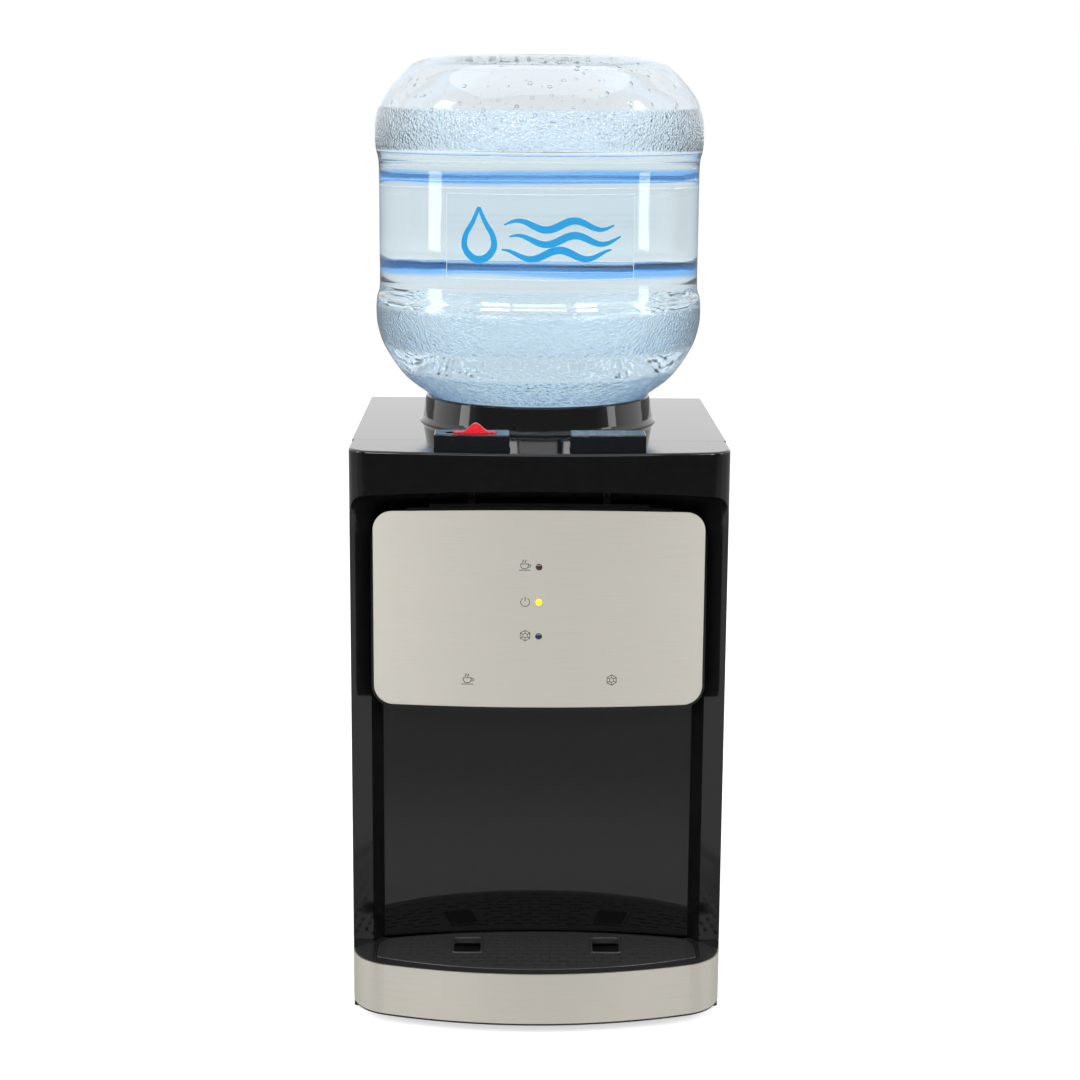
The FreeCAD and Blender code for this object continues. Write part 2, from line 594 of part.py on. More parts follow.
# ---------------------------------------------------------------- taps and buttons
def tap_pieces():
    for name, sign in (("hot", -1), ("cold", 1)):
        x = sign * TAP_X
        floor = BEZEL_LOW_SIDE + CARRIER_WALL
        tap = rod_z(x, TAP_Y, floor, 289.0, TAP_BODY_R).fuse(rod_z(x, TAP_Y, SPOUT_TIP, 262.0, SPOUT_R))
        tap = tap.fuse(rod_y(x, FEED_Z, TAP_Y, 26.0, TUBE_R - 2.0))
        tap = tap.cut(rod_z(x, TAP_Y, 264.0, 300.0, TAP_BORE)).cut(rod_z(x, TAP_Y, 240.0, 270.0, 3.6))
        tap = tap.cut(rod_y(x, FEED_Z, TAP_Y, 40.0, 1.6))
        save("%s_tap" % name, tap)

        rod = rod_z(x, TAP_Y, 300.0, 440.0, 2.5).fuse(rod_z(x, TAP_Y, 272.0, 300.5, TAP_BORE - LOOSE_GAP))
        rod = rod.fuse(rod_z(x, TAP_Y, 302.0, 304.5, 7.0))
        save("%s_push_rod" % name, rod)

        coil_r = 6.1
        wire_r = 0.55
        low = 289.0 + wire_r
        high = 302.0 - wire_r
        helix = Part.makeHelix((high - low) / 5, high - low, coil_r)
        ring = Part.Wire(Part.Circle(V(coil_r, 0, 0), V(0, 1, 0), wire_r).toShape())
        spring = Part.Wire(helix).makePipeShell([ring], True, True)
        spring.translate(V(x, TAP_Y, low))
        save("%s_spring" % name, spring)

        bx = sign * BUTTON_X
        plan = prism(fascia_face(BUTTON_INSET, SEAM_Y, BUTTON_SKIRT_Z), BUTTON_TOP - BUTTON_SKIRT_Z)
        cap = plan.common(box(bx - BUTTON_HALF, bx + BUTTON_HALF, -60, BUTTON_BACK_Y, BUTTON_SKIRT_Z, BUTTON_TOP))
        rims = [e for e in cap.Edges if min(v.Z for v in e.Vertexes) > BUTTON_TOP - 0.1]
        cap = cap.makeFillet(0.9, rims)
        w = BUTTON_WALL
        inside = fascia_face(BUTTON_INSET + w, SEAM_Y, BUTTON_SKIRT_Z - 1)
        inner = prism(inside, BUTTON_TOP - w - BUTTON_SKIRT_Z - 0.5)
        cap = cap.cut(inner.common(box(bx - BUTTON_HALF + w, bx + BUTTON_HALF - w, -60, BUTTON_BACK_Y - w,
                                       BUTTON_SKIRT_Z - 1, BUTTON_TOP - w - 1.5)))
        for end in (-1, 1):
            x0 = bx + end * (BUTTON_HALF - 0.5)
            x1 = bx + end * (BUTTON_HALF + 2.0)
            cap = cap.fuse(box(min(x0, x1), max(x0, x1), -18, 0, BUTTON_SKIRT_Z, BUTTON_SKIRT_Z + 5.8))
        cap = cap.fuse(box(x - 8, x + 8, -2.0, TAP_Y + 6, 440.0, BUTTON_SKIRT_Z + 0.5))
        cap = cap.fuse(box(x - 8, x + 8, -2.0, BUTTON_BACK_Y, 440.0, 455.0))
        if name == "hot":
            cap = cap.cut(box(-71.0, -32.6, -17.4, -8.6, BUTTON_TOP - 1.4, BUTTON_TOP + 2))
        save("%s_button" % name, cap)

    z = BUTTON_TOP - 1.4 + CONTACT
    top = BUTTON_TOP + 0.9
    slab = box(-65.0, -33.0, -17.0, -9.0, z, top)
    bell = []
    for i in range(33):
        u = -1 + i / 16.0
        bell.append(V(-48.4 + u * 12.0, -16.5, top - 0.3 + 6.6 * (0.5 + 0.5 * math.cos(math.pi * u)) ** 1.35))
    curve = Part.BSplineCurve()
    curve.interpolate(bell)
    hump = Part.Face(Part.Wire([curve.toShape(), line(bell[-1], bell[0])])).extrude(V(0, 7.0, 0))
    save("child_lock", slab.fuse(hump))


# ---------------------------------------------------------------- bottle and its seat
def seat_pieces():
    z0 = CASE_TOP
    outer = [
        (SEAT_FOOT_R, z0), (SEAT_FOOT_R, z0 + 0.8), (SEAT_WAIST_R + 0.6, z0 + 3.4), (SEAT_WAIST_R, z0 + 4.6),
        (SEAT_TOP_R + 1.2, SEAT_TOP - 1.2), (SEAT_TOP_R, SEAT_TOP), (SEAT_TOP_R - 2.4, SEAT_TOP),
        (SEAT_TOP_R - 2.8, SEAT_TOP - 4.0), (86.0, z0 + 2.4), (52.0, 440.0),
    ]
    funnel = [(NECK_GUIDE_R, 434.0), (NECK_GUIDE_R, 396.0), (NECK_GUIDE_R + 2.0, 396.0), (NECK_GUIDE_R + 2.0, 431.5),
              (52.5, 437.4), (SEAT_HOLE_R, z0 - 2.6), (SEAT_HOLE_R, z0)]
    seat = turned(outer + funnel, 0, SEAT_Y)
    save("bottle_seat", seat)
    gasket = turned([(SEAT_TOP_R - 4.6, SEAT_TOP - 3.9), (SEAT_TOP_R - 3.0, SEAT_TOP - 3.4),
                     (SEAT_TOP_R - 2.8, SEAT_TOP - 1.4), (SEAT_TOP_R - 3.6, SEAT_TOP - 1.4)], 0, SEAT_Y)
    save("seat_gasket", gasket)


BOTTLE_PROFILE = [
    (85.0, 748.0), (102.0, 742.0), (116.0, 729.0), (125.5, 717.0), (131.0, 703.0), (132.5, 689.0), (131.8, 675.0),
    (129.6, 664.0), (129.3, 640.0), (129.3, 600.0), (129.3, 566.0), (131.6, 556.0), (132.2, 545.0), (131.0, 532.0),
    (125.3, 515.5), (111.5, 495.0), (97.5, 483.0), (84.0, 474.8), (62.0, 463.5), (43.0, 453.5), (31.5, 441.0),
    (NECK_R, 426.0),
]


def bottle_body(inset):
    """Solid filled bottle shape, shrunk by inset along the surface normal."""
    pts = []
    n = len(BOTTLE_PROFILE)
    for i, (r, z) in enumerate(BOTTLE_PROFILE):
        ra, za = BOTTLE_PROFILE[max(i - 1, 0)]
        rb, zb = BOTTLE_PROFILE[min(i + 1, n - 1)]
        length = math.hypot(rb - ra, zb - za)
        pts.append((r + inset * (zb - za) / length, z - inset * (rb - ra) / length))
    pts[0] = (BOTTLE_PROFILE[0][0], BOTTLE_TOP - inset)
    low = NECK_END - (1.0 if inset else 0.0)
    pts[-1] = (NECK_R - inset, BOTTLE_PROFILE[-1][1])
    curve = Part.BSplineCurve()
    curve.interpolate([V(r, 0, z) for r, z in pts])
    top = V(0, 0, BOTTLE_TOP - inset)
    foot = V(0, 0, low)
    edges = [line(top, V(pts[0][0], 0, pts[0][1])), curve.toShape(),
             line(V(pts[-1][0], 0, pts[-1][1]), V(pts[-1][0], 0, low)), line(V(pts[-1][0], 0, low), foot),
             line(foot, top)]
    body = Part.Face(Part.Wire(edges)).revolve(V(0, 0, 0), V(0, 0, 1), 360)
    return body


def grip_pocket(grow):
    """Hand recess moulded into the rear of the bottle."""
    half = GRIP_HALF + grow
    floor_y = GRIP_DEPTH_Y - grow
    block = box(-half, half, floor_y, 160, GRIP_Z0 - grow, GRIP_Z1 + grow)
    inner = [e for e in block.Edges if max(v.Y for v in e.Vertexes) < floor_y + 1]
    return block.makeFillet(GRIP_ROUND + grow, inner)


def bottle_pieces():
    outer = bottle_body(0.0).cut(grip_pocket(0.0))
    inner = bottle_body(BOTTLE_WALL).cut(grip_pocket(BOTTLE_WALL))
    bottle = outer.cut(inner)
    bottle.translate(V(0, SEAT_Y, 0))
    save("bottle", bottle)
    cap = turned([(PROBE_R + 1.0, NECK_END - 3.0), (30.0, NECK_END - 3.0), (30.0, 412.0), (NECK_R + 0.1, 412.0),
                  (NECK_R + 0.1, NECK_END - 0.5), (PROBE_R + 2.6, NECK_END - 0.5), (PROBE_R + 2.6, 408.0),
                  (PROBE_R + 1.0, 408.0)], 0, SEAT_Y)
    save("bottle_cap", cap)


# ---------------------------------------------------------------- cold side
def cold_pieces():
    y = SEAT_Y
    t = 1.2
    tank = rod_z(0, y, COLD_TANK_Z0, COLD_TANK_Z1, COLD_TANK_R)
    tank = tank.cut(rod_z(0, y, COLD_TANK_Z0 + t, COLD_TANK_Z1 + 1, COLD_TANK_R - t))
    for x, yy in ((TAP_X, 110.0), (0.0, 190.0)):
        tank = tank.fuse(rod_z(x, yy, COLD_TANK_Z0 - 14, COLD_TANK_Z0 + t, TUBE_BORE - 0.1))
        tank = tank.cut(rod_z(x, yy, COLD_TANK_Z0 - 20, COLD_TANK_Z0 + 5, 2.0))
    save("cold_tank", tank)
    lid = turned([(NECK_GUIDE_R + 2.5, COLD_TANK_Z1), (COLD_TANK_R + 3, COLD_TANK_Z1),
                  (COLD_TANK_R + 3, COLD_TANK_Z1 + 2.5), (NECK_GUIDE_R + 2.5, COLD_TANK_Z1 + 2.5)], 0, y)
    save("cold_tank_lid", lid)
    probe = turned([(PROBE_R - 2, 360.0), (PROBE_R, 360.0), (PROBE_R, 424.0), (2.0, 436.0), (0.0, 436.0),
                    (0.0, 433.0), (PROBE_R - 2, 422.0)], 0, y)
    probe = probe.cut(rod_x(y, 418.0, -20, 20, 2.6))
    ring = rod_z(0, y, 376.0, 378.5, COLD_TANK_R - t - 0.2).cut(rod_z(0, y, 370, 380, PROBE_R - 0.5))
    holes = []
    for i in range(8):
        a = math.pi * i / 4
        holes.append(rod_z(48 * math.cos(a), y + 48 * math.sin(a), 370, 385, 12.0))
    probe = probe.fuse(ring.cut(Part.makeCompound(holes)))
    save("probe", probe)

    window = box(-22, 22, y, y + 120, FAN_Z - 22, FAN_Z + 22)
    foam = rod_z(0, y, SHELF_Z + 1.5, COLD_TANK_Z1 - 0.2, FOAM_R)
    foam = foam.cut(rod_z(0, y, COLD_TANK_Z0 - 0.1, COLD_TANK_Z1 + 1, COLD_TANK_R + 0.1)).cut(window)
    for x, yy in ((TAP_X, 110.0), (0.0, 190.0)):
        foam = foam.cut(rod_z(x, yy, 260, 300, TUBE_R + 0.6))
    left = foam.common(box(-120, -0.1, 0, 300, 260, 450))
    right = foam.common(box(0.1, 120, 0, 300, 260, 450))
    save("tank_foam", left, right)

    flat_y = y + COLD_TANK_R + 14.0
    block = box(-20, 20, y + 60, flat_y, FAN_Z - 20, FAN_Z + 20)
    block = block.cut(rod_z(0, y, 300, 400, COLD_TANK_R + CONTACT))
    save("cold_block", block)
    module = box(-20, 20, flat_y, flat_y + 3.8, FAN_Z - 20, FAN_Z + 20)
    save("peltier_module", module)
    sink_y = flat_y + 3.8
    sink = box(-40, 40, sink_y, sink_y + 4.5, FAN_Z - 40, FAN_Z + 40)
    for i in range(14):
        x = -39.2 + i * 5.94
        sink = sink.fuse(box(x, x + 1.2, sink_y + 4, FAN_Y0, FAN_Z - 40, FAN_Z + 40))
    save("heat_sink", sink)

    half = FAN_SIZE / 2
    frame = rounded_plate_y(-half, half, FAN_Z - half, FAN_Z + half, FAN_Y0, FAN_Y1, 4.0)
    frame = frame.cut(rod_y(0, FAN_Z, FAN_Y0 - 1, FAN_Y1 + 1, half - 2.0))
    hub = rod_y(0, FAN_Z, FAN_Y0, FAN_Y0 + 2.5, 15.0)
    frame = frame.fuse(hub).fuse(rod_y(0, FAN_Z, FAN_Y0, FAN_Y0 + 9.0, 2.0))
    for i in range(4):
        arm = box(-1.6, 1.6, FAN_Y0, FAN_Y0 + 2.5, FAN_Z + 13, FAN_Z + half - 1)
        arm.rotate(V(0, 0, FAN_Z), V(0, 1, 0), 45 + 90 * i)
        frame = frame.fuse(arm)
    save("fan_frame", frame)
    rotor = rod_y(0, FAN_Z, FAN_Y0 + 3.2, FAN_Y1 - 1.5, 14.0)
    rotor = rotor.cut(rod_y(0, FAN_Z, FAN_Y0 + 3, FAN_Y0 + 10.0, 2.05))
    for i in range(7):
        blade = box(-1.0, 1.0, FAN_Y0 + 3.4, FAN_Y1 - 2.0, FAN_Z + 12, FAN_Z + half - 3.5)
        blade.rotate(V(0, FAN_Y0 + 8, FAN_Z), V(0, 0, 1), 38)
        blade = blade.common(rod_y(0, FAN_Z, FAN_Y0 + 3.2, FAN_Y1 - 1.5, half - 3.5))
        blade.rotate(V(0, 0, FAN_Z), V(0, 1, 0), 360.0 / 7 * i)
        rotor = rotor.fuse(blade)
    save("fan_rotor", rotor)
    guard = []
    for r in (12.0, 21.0, 30.0, 38.0):
        ring = Part.makeTorus(r, 0.8, V(0, FAN_Y1 + 0.8, FAN_Z), V(0, 1, 0))
        guard.append(ring)
    grid = guard[0].multiFuse(guard[1:])
    for i in range(2):
        bar = rod_x(FAN_Y1 + 0.8, FAN_Z, -38.0, 38.0, 0.7)
        bar.rotate(V(0, 0, FAN_Z), V(0, 1, 0), 45 + 90 * i)
        grid = grid.fuse(bar)
    save("fan_guard", grid)


# ---------------------------------------------------------------- hot side
def hot_pieces():
    t = 1.0
    tank = rod_z(HOT_X, HOT_Y, HOT_TANK_Z0, HOT_TANK_Z1, HOT_TANK_R)
    tank = tank.cut(rod_z(HOT_X, HOT_Y, HOT_TANK_Z0 + t, HOT_TANK_Z1 - t, HOT_TANK_R - t))
    ports = ((HOT_X, HOT_Y, HOT_TANK_Z1 - t, HOT_TANK_Z1 + 12),
             (HOT_X + 25, HOT_Y + 10, HOT_TANK_Z1 - t, HOT_TANK_Z1 + 12),
             (HOT_X, HOT_Y, HOT_TANK_Z0 - 12, HOT_TANK_Z0 + t))
    for x, y, z0, z1 in ports:
        tank = tank.fuse(rod_z(x, y, z0, z1, TUBE_BORE - 0.1))
        tank = tank.cut(rod_z(x, y, z0 - 2, z1 + 2, 2.0))
    save("hot_tank", tank)
    band = turned([(HOT_TANK_R + CONTACT, 110.0), (HOT_TANK_R + 3, 110.0), (HOT_TANK_R + 3, 160.0),
                   (HOT_TANK_R + CONTACT, 160.0)], HOT_X, HOT_Y)
    save("heater_band", band.cut(box(HOT_X - 3, HOT_X + 3, HOT_Y - 60, HOT_Y, 100, 170)))
    jacket = turned([(HOT_TANK_R + 3.1, 84.0), (HOT_TANK_R + 11, 84.0), (HOT_TANK_R + 11, 208.0),
                     (HOT_TANK_R + 3.1, 208.0)], HOT_X, HOT_Y)
    save("hot_tank_jacket", jacket)
    clicks = []
    for x, y in ((HOT_X - 20, HOT_Y + 10), (HOT_X - 12, HOT_Y - 22)):
        body = rod_z(x, y, HOT_TANK_Z1 + CONTACT, HOT_TANK_Z1 + 8, 8.0)
        body = body.fuse(rod_z(x - 4, y, HOT_TANK_Z1 + 8, HOT_TANK_Z1 + 13, 1.0))
        clicks.append(body.fuse(rod_z(x + 4, y, HOT_TANK_Z1 + 8, HOT_TANK_Z1 + 13, 1.0)))
    save("thermostats", *clicks)
    stand = turned([(30.0, 6.1), (44.0, 6.1), (44.0, 8.0), (38.0, 8.0), (38.0, HOT_TANK_Z0 - 0.05),
                    (36.0, HOT_TANK_Z0 - 0.05), (36.0, 8.0), (30.0, 8.0)], HOT_X, HOT_Y)
    stand = stand.cut(box(HOT_X - 9, HOT_X + 9, HOT_Y, HOT_Y + 80, 12, 52))
    save("hot_tank_stand", stand)

    out = TUBE_R
    bore = TUBE_BORE
    cold = pipe([V(TAP_X, 110, COLD_TANK_Z0 - 1), V(TAP_X, 110, 250), V(TAP_X, 60, 250),
                 V(TAP_X, 60, FEED_Z), V(TAP_X, 20, FEED_Z)], out, bore, 11.0)
    cold = cold.cut(rod_z(TAP_X, TAP_Y, 250, 300, TAP_BODY_R + 0.1))
    save("cold_tube", cold)
    feed = pipe([V(0, 190, COLD_TANK_Z0 - 1), V(0, 190, 245), V(HOT_X + 25, HOT_Y + 10, 245),
                 V(HOT_X + 25, HOT_Y + 10, HOT_TANK_Z1 + 0.1)], out, bore, 11.0)
    save("feed_tube", feed)
    hot = pipe([V(HOT_X, HOT_Y, HOT_TANK_Z1 + 0.1), V(HOT_X, HOT_Y, 234), V(-TAP_X, 60, 234),
                V(-TAP_X, 60, FEED_Z), V(-TAP_X, 20, FEED_Z)], out, bore, 11.0)
    hot = hot.cut(rod_z(-TAP_X, TAP_Y, 250, 300, TAP_BODY_R + 0.1))
    save("hot_tube", hot)
    route = [V(HOT_X, HOT_Y, HOT_TANK_Z0 - 0.1), V(HOT_X, HOT_Y, DRAIN_Z), V(HOT_X, CASE_REAR - 10, DRAIN_Z)]
    drain = pipe(route, out, bore, 12.0)
    save("drain_tube", drain)
    rear = CASE_REAR
    fitting = rod_y(DRAIN_X, DRAIN_Z, rear - 20, rear + 2.0, TUBE_BORE - 0.1)
    fitting = fitting.fuse(rod_y(DRAIN_X, DRAIN_Z, rear - 8, rear + 3.0, 6.8))
    fitting = fitting.fuse(rod_y(DRAIN_X, DRAIN_Z, rear, rear + 3.0, 9.0))
    fitting = fitting.fuse(rod_y(DRAIN_X, DRAIN_Z, rear - 8.0, rear - 3.0, 9.0))
    fitting = fitting.cut(rod_y(DRAIN_X, DRAIN_Z, rear - 22, rear + 18, 2.0))
    fitting = fitting.cut(rod_y(DRAIN_X, DRAIN_Z, rear - 5, rear + 18, 4.4))
    save("drain_fitting", fitting)
    plug = rod_y(DRAIN_X, DRAIN_Z, rear + 3.05, REAR_MOST, 8.5)
    plug = plug.fuse(rod_y(DRAIN_X, DRAIN_Z, rear - 3.0, rear + 3.5, 4.0))
    for i in range(12):
        a = 2 * math.pi * i / 12
        flute_x = DRAIN_X + 9.1 * math.cos(a)
        flute_z = DRAIN_Z + 9.1 * math.sin(a)
        plug = plug.cut(rod_y(flute_x, flute_z, rear + 4.5, rear + 18, 1.1))
    save("drain_plug", plug)


# ---------------------------------------------------------------- rear and electrics
def electric_pieces():
    rear = CASE_REAR
    housings = []
    for name, x in SWITCH_X.items():
        body = box(x - 7.3, x + 7.3, rear - 16, rear, SWITCH_Z - 10.8, SWITCH_Z + 10.8)
        flange = rounded_plate_y(x - 10, x + 10, SWITCH_Z - 13.5, SWITCH_Z + 13.5, rear, rear + 1.6, 1.5)
        mouth = box(x - 5.4, x + 5.4, rear - 8.5, rear + 3, SWITCH_Z - 9.4, SWITCH_Z + 9.4)
        body = body.fuse(flange).cut(mouth)
        body = body.fuse(box(x - 0.4, x + 0.4, rear - 26, rear - 15.5, SWITCH_Z - 7, SWITCH_Z - 3))
        body = body.fuse(box(x - 0.4, x + 0.4, rear - 26, rear - 15.5, SWITCH_Z + 3, SWITCH_Z + 7))
        pin = rod_x(rear - 2.5, SWITCH_Z, x - 6, x + 6, 1.2)
        housings.append(body.fuse(pin))
        shape = Part.makePolygon([V(x - 5.0, rear - 4.6, SWITCH_Z - 2.5), V(x - 5.0, rear - 1.6, SWITCH_Z - 8.0),
                                  V(x - 5.0, rear + 1.4, SWITCH_Z - 8.0), V(x - 5.0, rear + 1.0, SWITCH_Z),
                                  V(x - 5.0, rear + 3.6, SWITCH_Z + 7.6), V(x - 5.0, rear - 0.4, SWITCH_Z + 8.0),
                                  V(x - 5.0, rear - 4.6, SWITCH_Z + 2.5), V(x - 5.0, rear - 4.6, SWITCH_Z - 2.5)])
        rocker = Part.Face(shape).extrude(V(10.0, 0, 0)).cut(rod_x(rear - 2.5, SWITCH_Z, x - 7, x + 7, 1.25))
        save("%s_rocker" % name, rocker)
    save("switch_housings", *housings)

    gland = rod_y(GLAND_X, GLAND_Z, rear - 8, rear + 7, 6.8)
    gland = gland.fuse(rod_y(GLAND_X, GLAND_Z, rear, rear + 3, 10.0))
    gland = gland.fuse(rod_y(GLAND_X, GLAND_Z, rear - 7, rear - 3, 9.0))
    gland = gland.cut(rod_y(GLAND_X, GLAND_Z, rear - 22, rear + 18, 3.6))
    save("cord_gland", gland)

    x0 = BOARD_X0
    x1 = x0 + BOARD_LENGTH
    board = box(x0, x1, 90.0, 230.0, 16.0, 17.6)
    holes = []
    posts = []
    for x in (x0 + 6, x1 - 6):
        for y in (96.0, 224.0):
            holes.append(rod_z(x, y, 10, 20, 1.6))
            posts.append(rod_z(x, y, 6.0, 16.0, 3.5).fuse(rod_z(x, y, 15.9, 19.0, 1.5)))
    save("power_board", board.cut(Part.makeCompound(holes)))
    top = 17.6
    parts = [box(x0 + 14, x0 + 44, 110, 142, top, 42), rod_z(x0 + 66, 118, top, 50, 9.0),
             rod_z(x0 + 66, 146, top, 50, 9.0), box(x0 + 12, x0 + 16, 160, 200, top, 45),
             box(x0 + 32, x0 + 54, 165, 183, top, 33), box(x0 + 64, x0 + 82, 176, 206, top, 31),
             box(x0 + 30, x0 + 48, 205, 217, top, 29)]
    save("board_parts", *parts)
    save("board_posts", *posts)


base_pieces()
tray_pieces()
frame_pieces()
panel_pieces()
tap_pieces()
seat_pieces()
bottle_pieces()
cold_pieces()
hot_pieces()
electric_pieces()
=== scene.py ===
import math
import random

import bmesh
import bpy
from mathutils import Matrix, Vector


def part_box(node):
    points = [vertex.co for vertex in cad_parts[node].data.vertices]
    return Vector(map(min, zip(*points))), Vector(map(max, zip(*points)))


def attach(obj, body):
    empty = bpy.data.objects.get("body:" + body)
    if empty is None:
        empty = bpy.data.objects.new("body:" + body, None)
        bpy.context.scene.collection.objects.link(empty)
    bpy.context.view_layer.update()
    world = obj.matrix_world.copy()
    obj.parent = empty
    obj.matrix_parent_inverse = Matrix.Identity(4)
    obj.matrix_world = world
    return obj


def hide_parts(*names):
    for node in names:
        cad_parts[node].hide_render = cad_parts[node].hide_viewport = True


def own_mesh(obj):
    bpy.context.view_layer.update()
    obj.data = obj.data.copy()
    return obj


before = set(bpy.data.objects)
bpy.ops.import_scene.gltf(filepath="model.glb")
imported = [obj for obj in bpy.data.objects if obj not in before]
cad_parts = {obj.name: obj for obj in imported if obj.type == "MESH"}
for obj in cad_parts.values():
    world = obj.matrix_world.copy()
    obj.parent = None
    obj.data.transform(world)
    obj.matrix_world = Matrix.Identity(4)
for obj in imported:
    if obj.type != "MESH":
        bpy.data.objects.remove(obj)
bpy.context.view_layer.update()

MM = 0.001
# the camera's distance is measured from this plane, 36 mm in front of the front frame's rear
SIDE_EDGE_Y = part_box("front_frame")[1].y - 36 * MM
BOTTLE_AXIS_Y = sum(v.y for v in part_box("bottle_cap")) / 2
PLATE_FRONT_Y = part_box("faceplate")[0].y
# hand recess at the rear of the bottle, cut to the same sizes as in the CAD
GRIP_HALF = 72 * MM
GRIP_FRONT = 0.098
GRIP_LOW_Z = 0.574
GRIP_TOP_Z = 0.652
GRIP_ROUND = 0.018


# ------------------------------------------------------------ colour and nodes
def paint(code, alpha=1.0):
    """sRGB hex to linear RGBA."""
    out = []
    for i in (1, 3, 5):
        c = int(code[i:i + 2], 16) / 255
        out.append(c / 12.92 if c <= 0.04045 else ((c + 0.055) / 1.055) ** 2.4)
    return (*out, alpha)


def add(tree, kind, links=None, **settings):
    """One node: settings are its properties or input values, links feed its inputs."""
    node = tree.nodes.new(kind)
    for key, value in settings.items():
        if hasattr(node, key) and key not in node.inputs:
            setattr(node, key, value)
        else:
            spaced = key.replace("_", " ")
            node.inputs[spaced if spaced in node.inputs else key].default_value = value
    for key, source in (links or {}).items():
        tree.links.new(source, node.inputs[key])
    return node


def finish_of(name, colour, shade, rough, grain_mm, bump_mm, stretch=(1, 1, 1), detail=3.0, **sockets):
    """A moulded, drawn or brushed surface: grain varies colour, gloss and height."""
    mat = bpy.data.materials.new(name)
    mat.use_nodes = True
    tree = mat.node_tree
    tree.nodes.clear()
    out = add(tree, "ShaderNodeOutputMaterial")
    place = add(tree, "ShaderNodeTexCoord")
    scaled = add(tree, "ShaderNodeMapping", {"Vector": place.outputs["Object"]}, Scale=stretch)
    grain = add(tree, "ShaderNodeTexNoise", {"Vector": scaled.outputs[0]}, Scale=1 / (grain_mm * MM),
                Detail=detail)
    mixed = add(tree, "ShaderNodeMix", {"Factor": grain.outputs["Fac"]}, data_type="RGBA")
    mixed.inputs[6].default_value = paint(colour)
    mixed.inputs[7].default_value = paint(shade)
    gloss = add(tree, "ShaderNodeMapRange", {"Value": grain.outputs["Fac"]},
                **{"From Min": 0.25, "From Max": 0.75, "To Min": rough[0], "To Max": rough[1]})
    relief = add(tree, "ShaderNodeBump", {"Height": grain.outputs["Fac"]}, Distance=bump_mm * MM,
                 Strength=1.0)
    links = {"Base Color": mixed.outputs[2], "Roughness": gloss.outputs[0], "Normal": relief.outputs[0]}
    skin = add(tree, "ShaderNodeBsdfPrincipled", links, **sockets)
    tree.links.new(skin.outputs[0], out.inputs["Surface"])
    return mat


# ------------------------------------------------------------ finishes
# ABS polished in the tool: deep black, mirror clear, with a faint orange peel
piano_black = finish_of("piano_black_abs", "#0A0A0B", "#131314", (0.03, 0.07), 7.0, 0.006)
# the front moulding carries the same black with a heavier orange peel
frame_black = finish_of("front_frame_abs", "#0A0A0B", "#131314", (0.08, 0.12), 7.0, 0.006)
# ABS with a fine spark-eroded texture on the tray and underside
satin_black = finish_of("satin_black_abs", "#161617", "#222223", (0.34, 0.48), 0.7, 0.02)
# the grille is polished ABS; its base colour is lifted to a dark grey, a painted sheen that stands for its
# reflections
grille_black = finish_of("grille_abs_painted_sheen", "#272728", "#363637", (0.16, 0.28), 1.6, 0.012)
# push buttons: hard black ABS, clear gloss
button_black = finish_of("button_black_abs", "#0E1012", "#17191C", (0.06, 0.12), 2.0, 0.006)
# 430 stainless with a long horizontal brush line, about 0.4 mm apart
brush = (0.012, 0.012, 1.0)
brushed = {"Metallic": 1.0, "Anisotropic": 0.6, "Anisotropic Rotation": 0.25}
plate_steel = finish_of("brushed_430_stainless", "#ECE8DE", "#E0DCD2", (0.44, 0.52), 0.5, 0.0018, brush, 4.0,
                        **brushed)
# the band on the base is the same sheet, rolled and a shade duller
band_steel = finish_of("rolled_430_stainless", "#E0DCD2", "#D4D0C6", (0.40, 0.48), 0.5, 0.0018, brush, 4.0,
                       **brushed)
# powder coat: fine pebble, low sheen
powder_black = finish_of("black_powder_coat", "#141415", "#1E1E20", (0.42, 0.56), 1.1, 0.03)
# child lock: bright red ABS, semi gloss
red_abs = finish_of("red_abs", "#E3202E", "#CF1625", (0.22, 0.32), 1.2, 0.008)
# nitrile feet
black_rubber = finish_of("black_nitrile_rubber", "#151515", "#202020", (0.6, 0.8), 0.9, 0.03)
# translucent silicone tubing
silicone = finish_of("milky_silicone", "#DADBD6", "#C9CBC6", (0.3, 0.42), 2.0, 0.01)
# extruded and machined aluminium
raw_aluminium = finish_of("machined_aluminium", "#C9CBCD", "#B3B5B8", (0.3, 0.45), 0.6, 0.006, (1, 1, 0.1),
                          Metallic=1.0)
# deep drawn tank steel
drawn_steel = finish_of("drawn_304_stainless", "#C8C8C6", "#B2B1AE", (0.28, 0.42), 0.8, 0.006, (1, 1, 0.05),
                        Metallic=1.0)
# galvanised sheet with its spangle
galvanised = finish_of("galvanised_sheet", "#A9ADB0", "#8F9497", (0.35, 0.55), 9.0, 0.004, Metallic=1.0)
# zinc plated screws and spring wire
zinc_plate = finish_of("bright_zinc_plate", "#B9BBBD", "#A2A4A7", (0.18, 0.3), 0.9, 0.004, Metallic=1.0)
# epoxy glass board under green lacquer
board_green = finish_of("green_epoxy_board", "#1E5B33", "#174A29", (0.25, 0.4), 0.8, 0.01)
# expanded polystyrene beads, 3 mm
bead_foam = finish_of("polystyrene_foam", "#EFEFEA", "#DCDCD6", (0.7, 0.9), 3.0, 0.25)
# glass wool jacket
glass_wool = finish_of("glass_wool", "#E5DDB8", "#CFC59C", (0.85, 1.0), 1.5, 0.5)
# polypropylene and acetal mouldings inside
white_moulding = finish_of("white_polypropylene", "#E6E6E2", "#D8D8D3", (0.35, 0.5), 1.4, 0.01)
# mica and brass heater band
heater_brass = finish_of("heater_band_brass", "#B59A5B", "#8E7A48", (0.3, 0.5), 1.5, 0.01, Metallic=1.0)
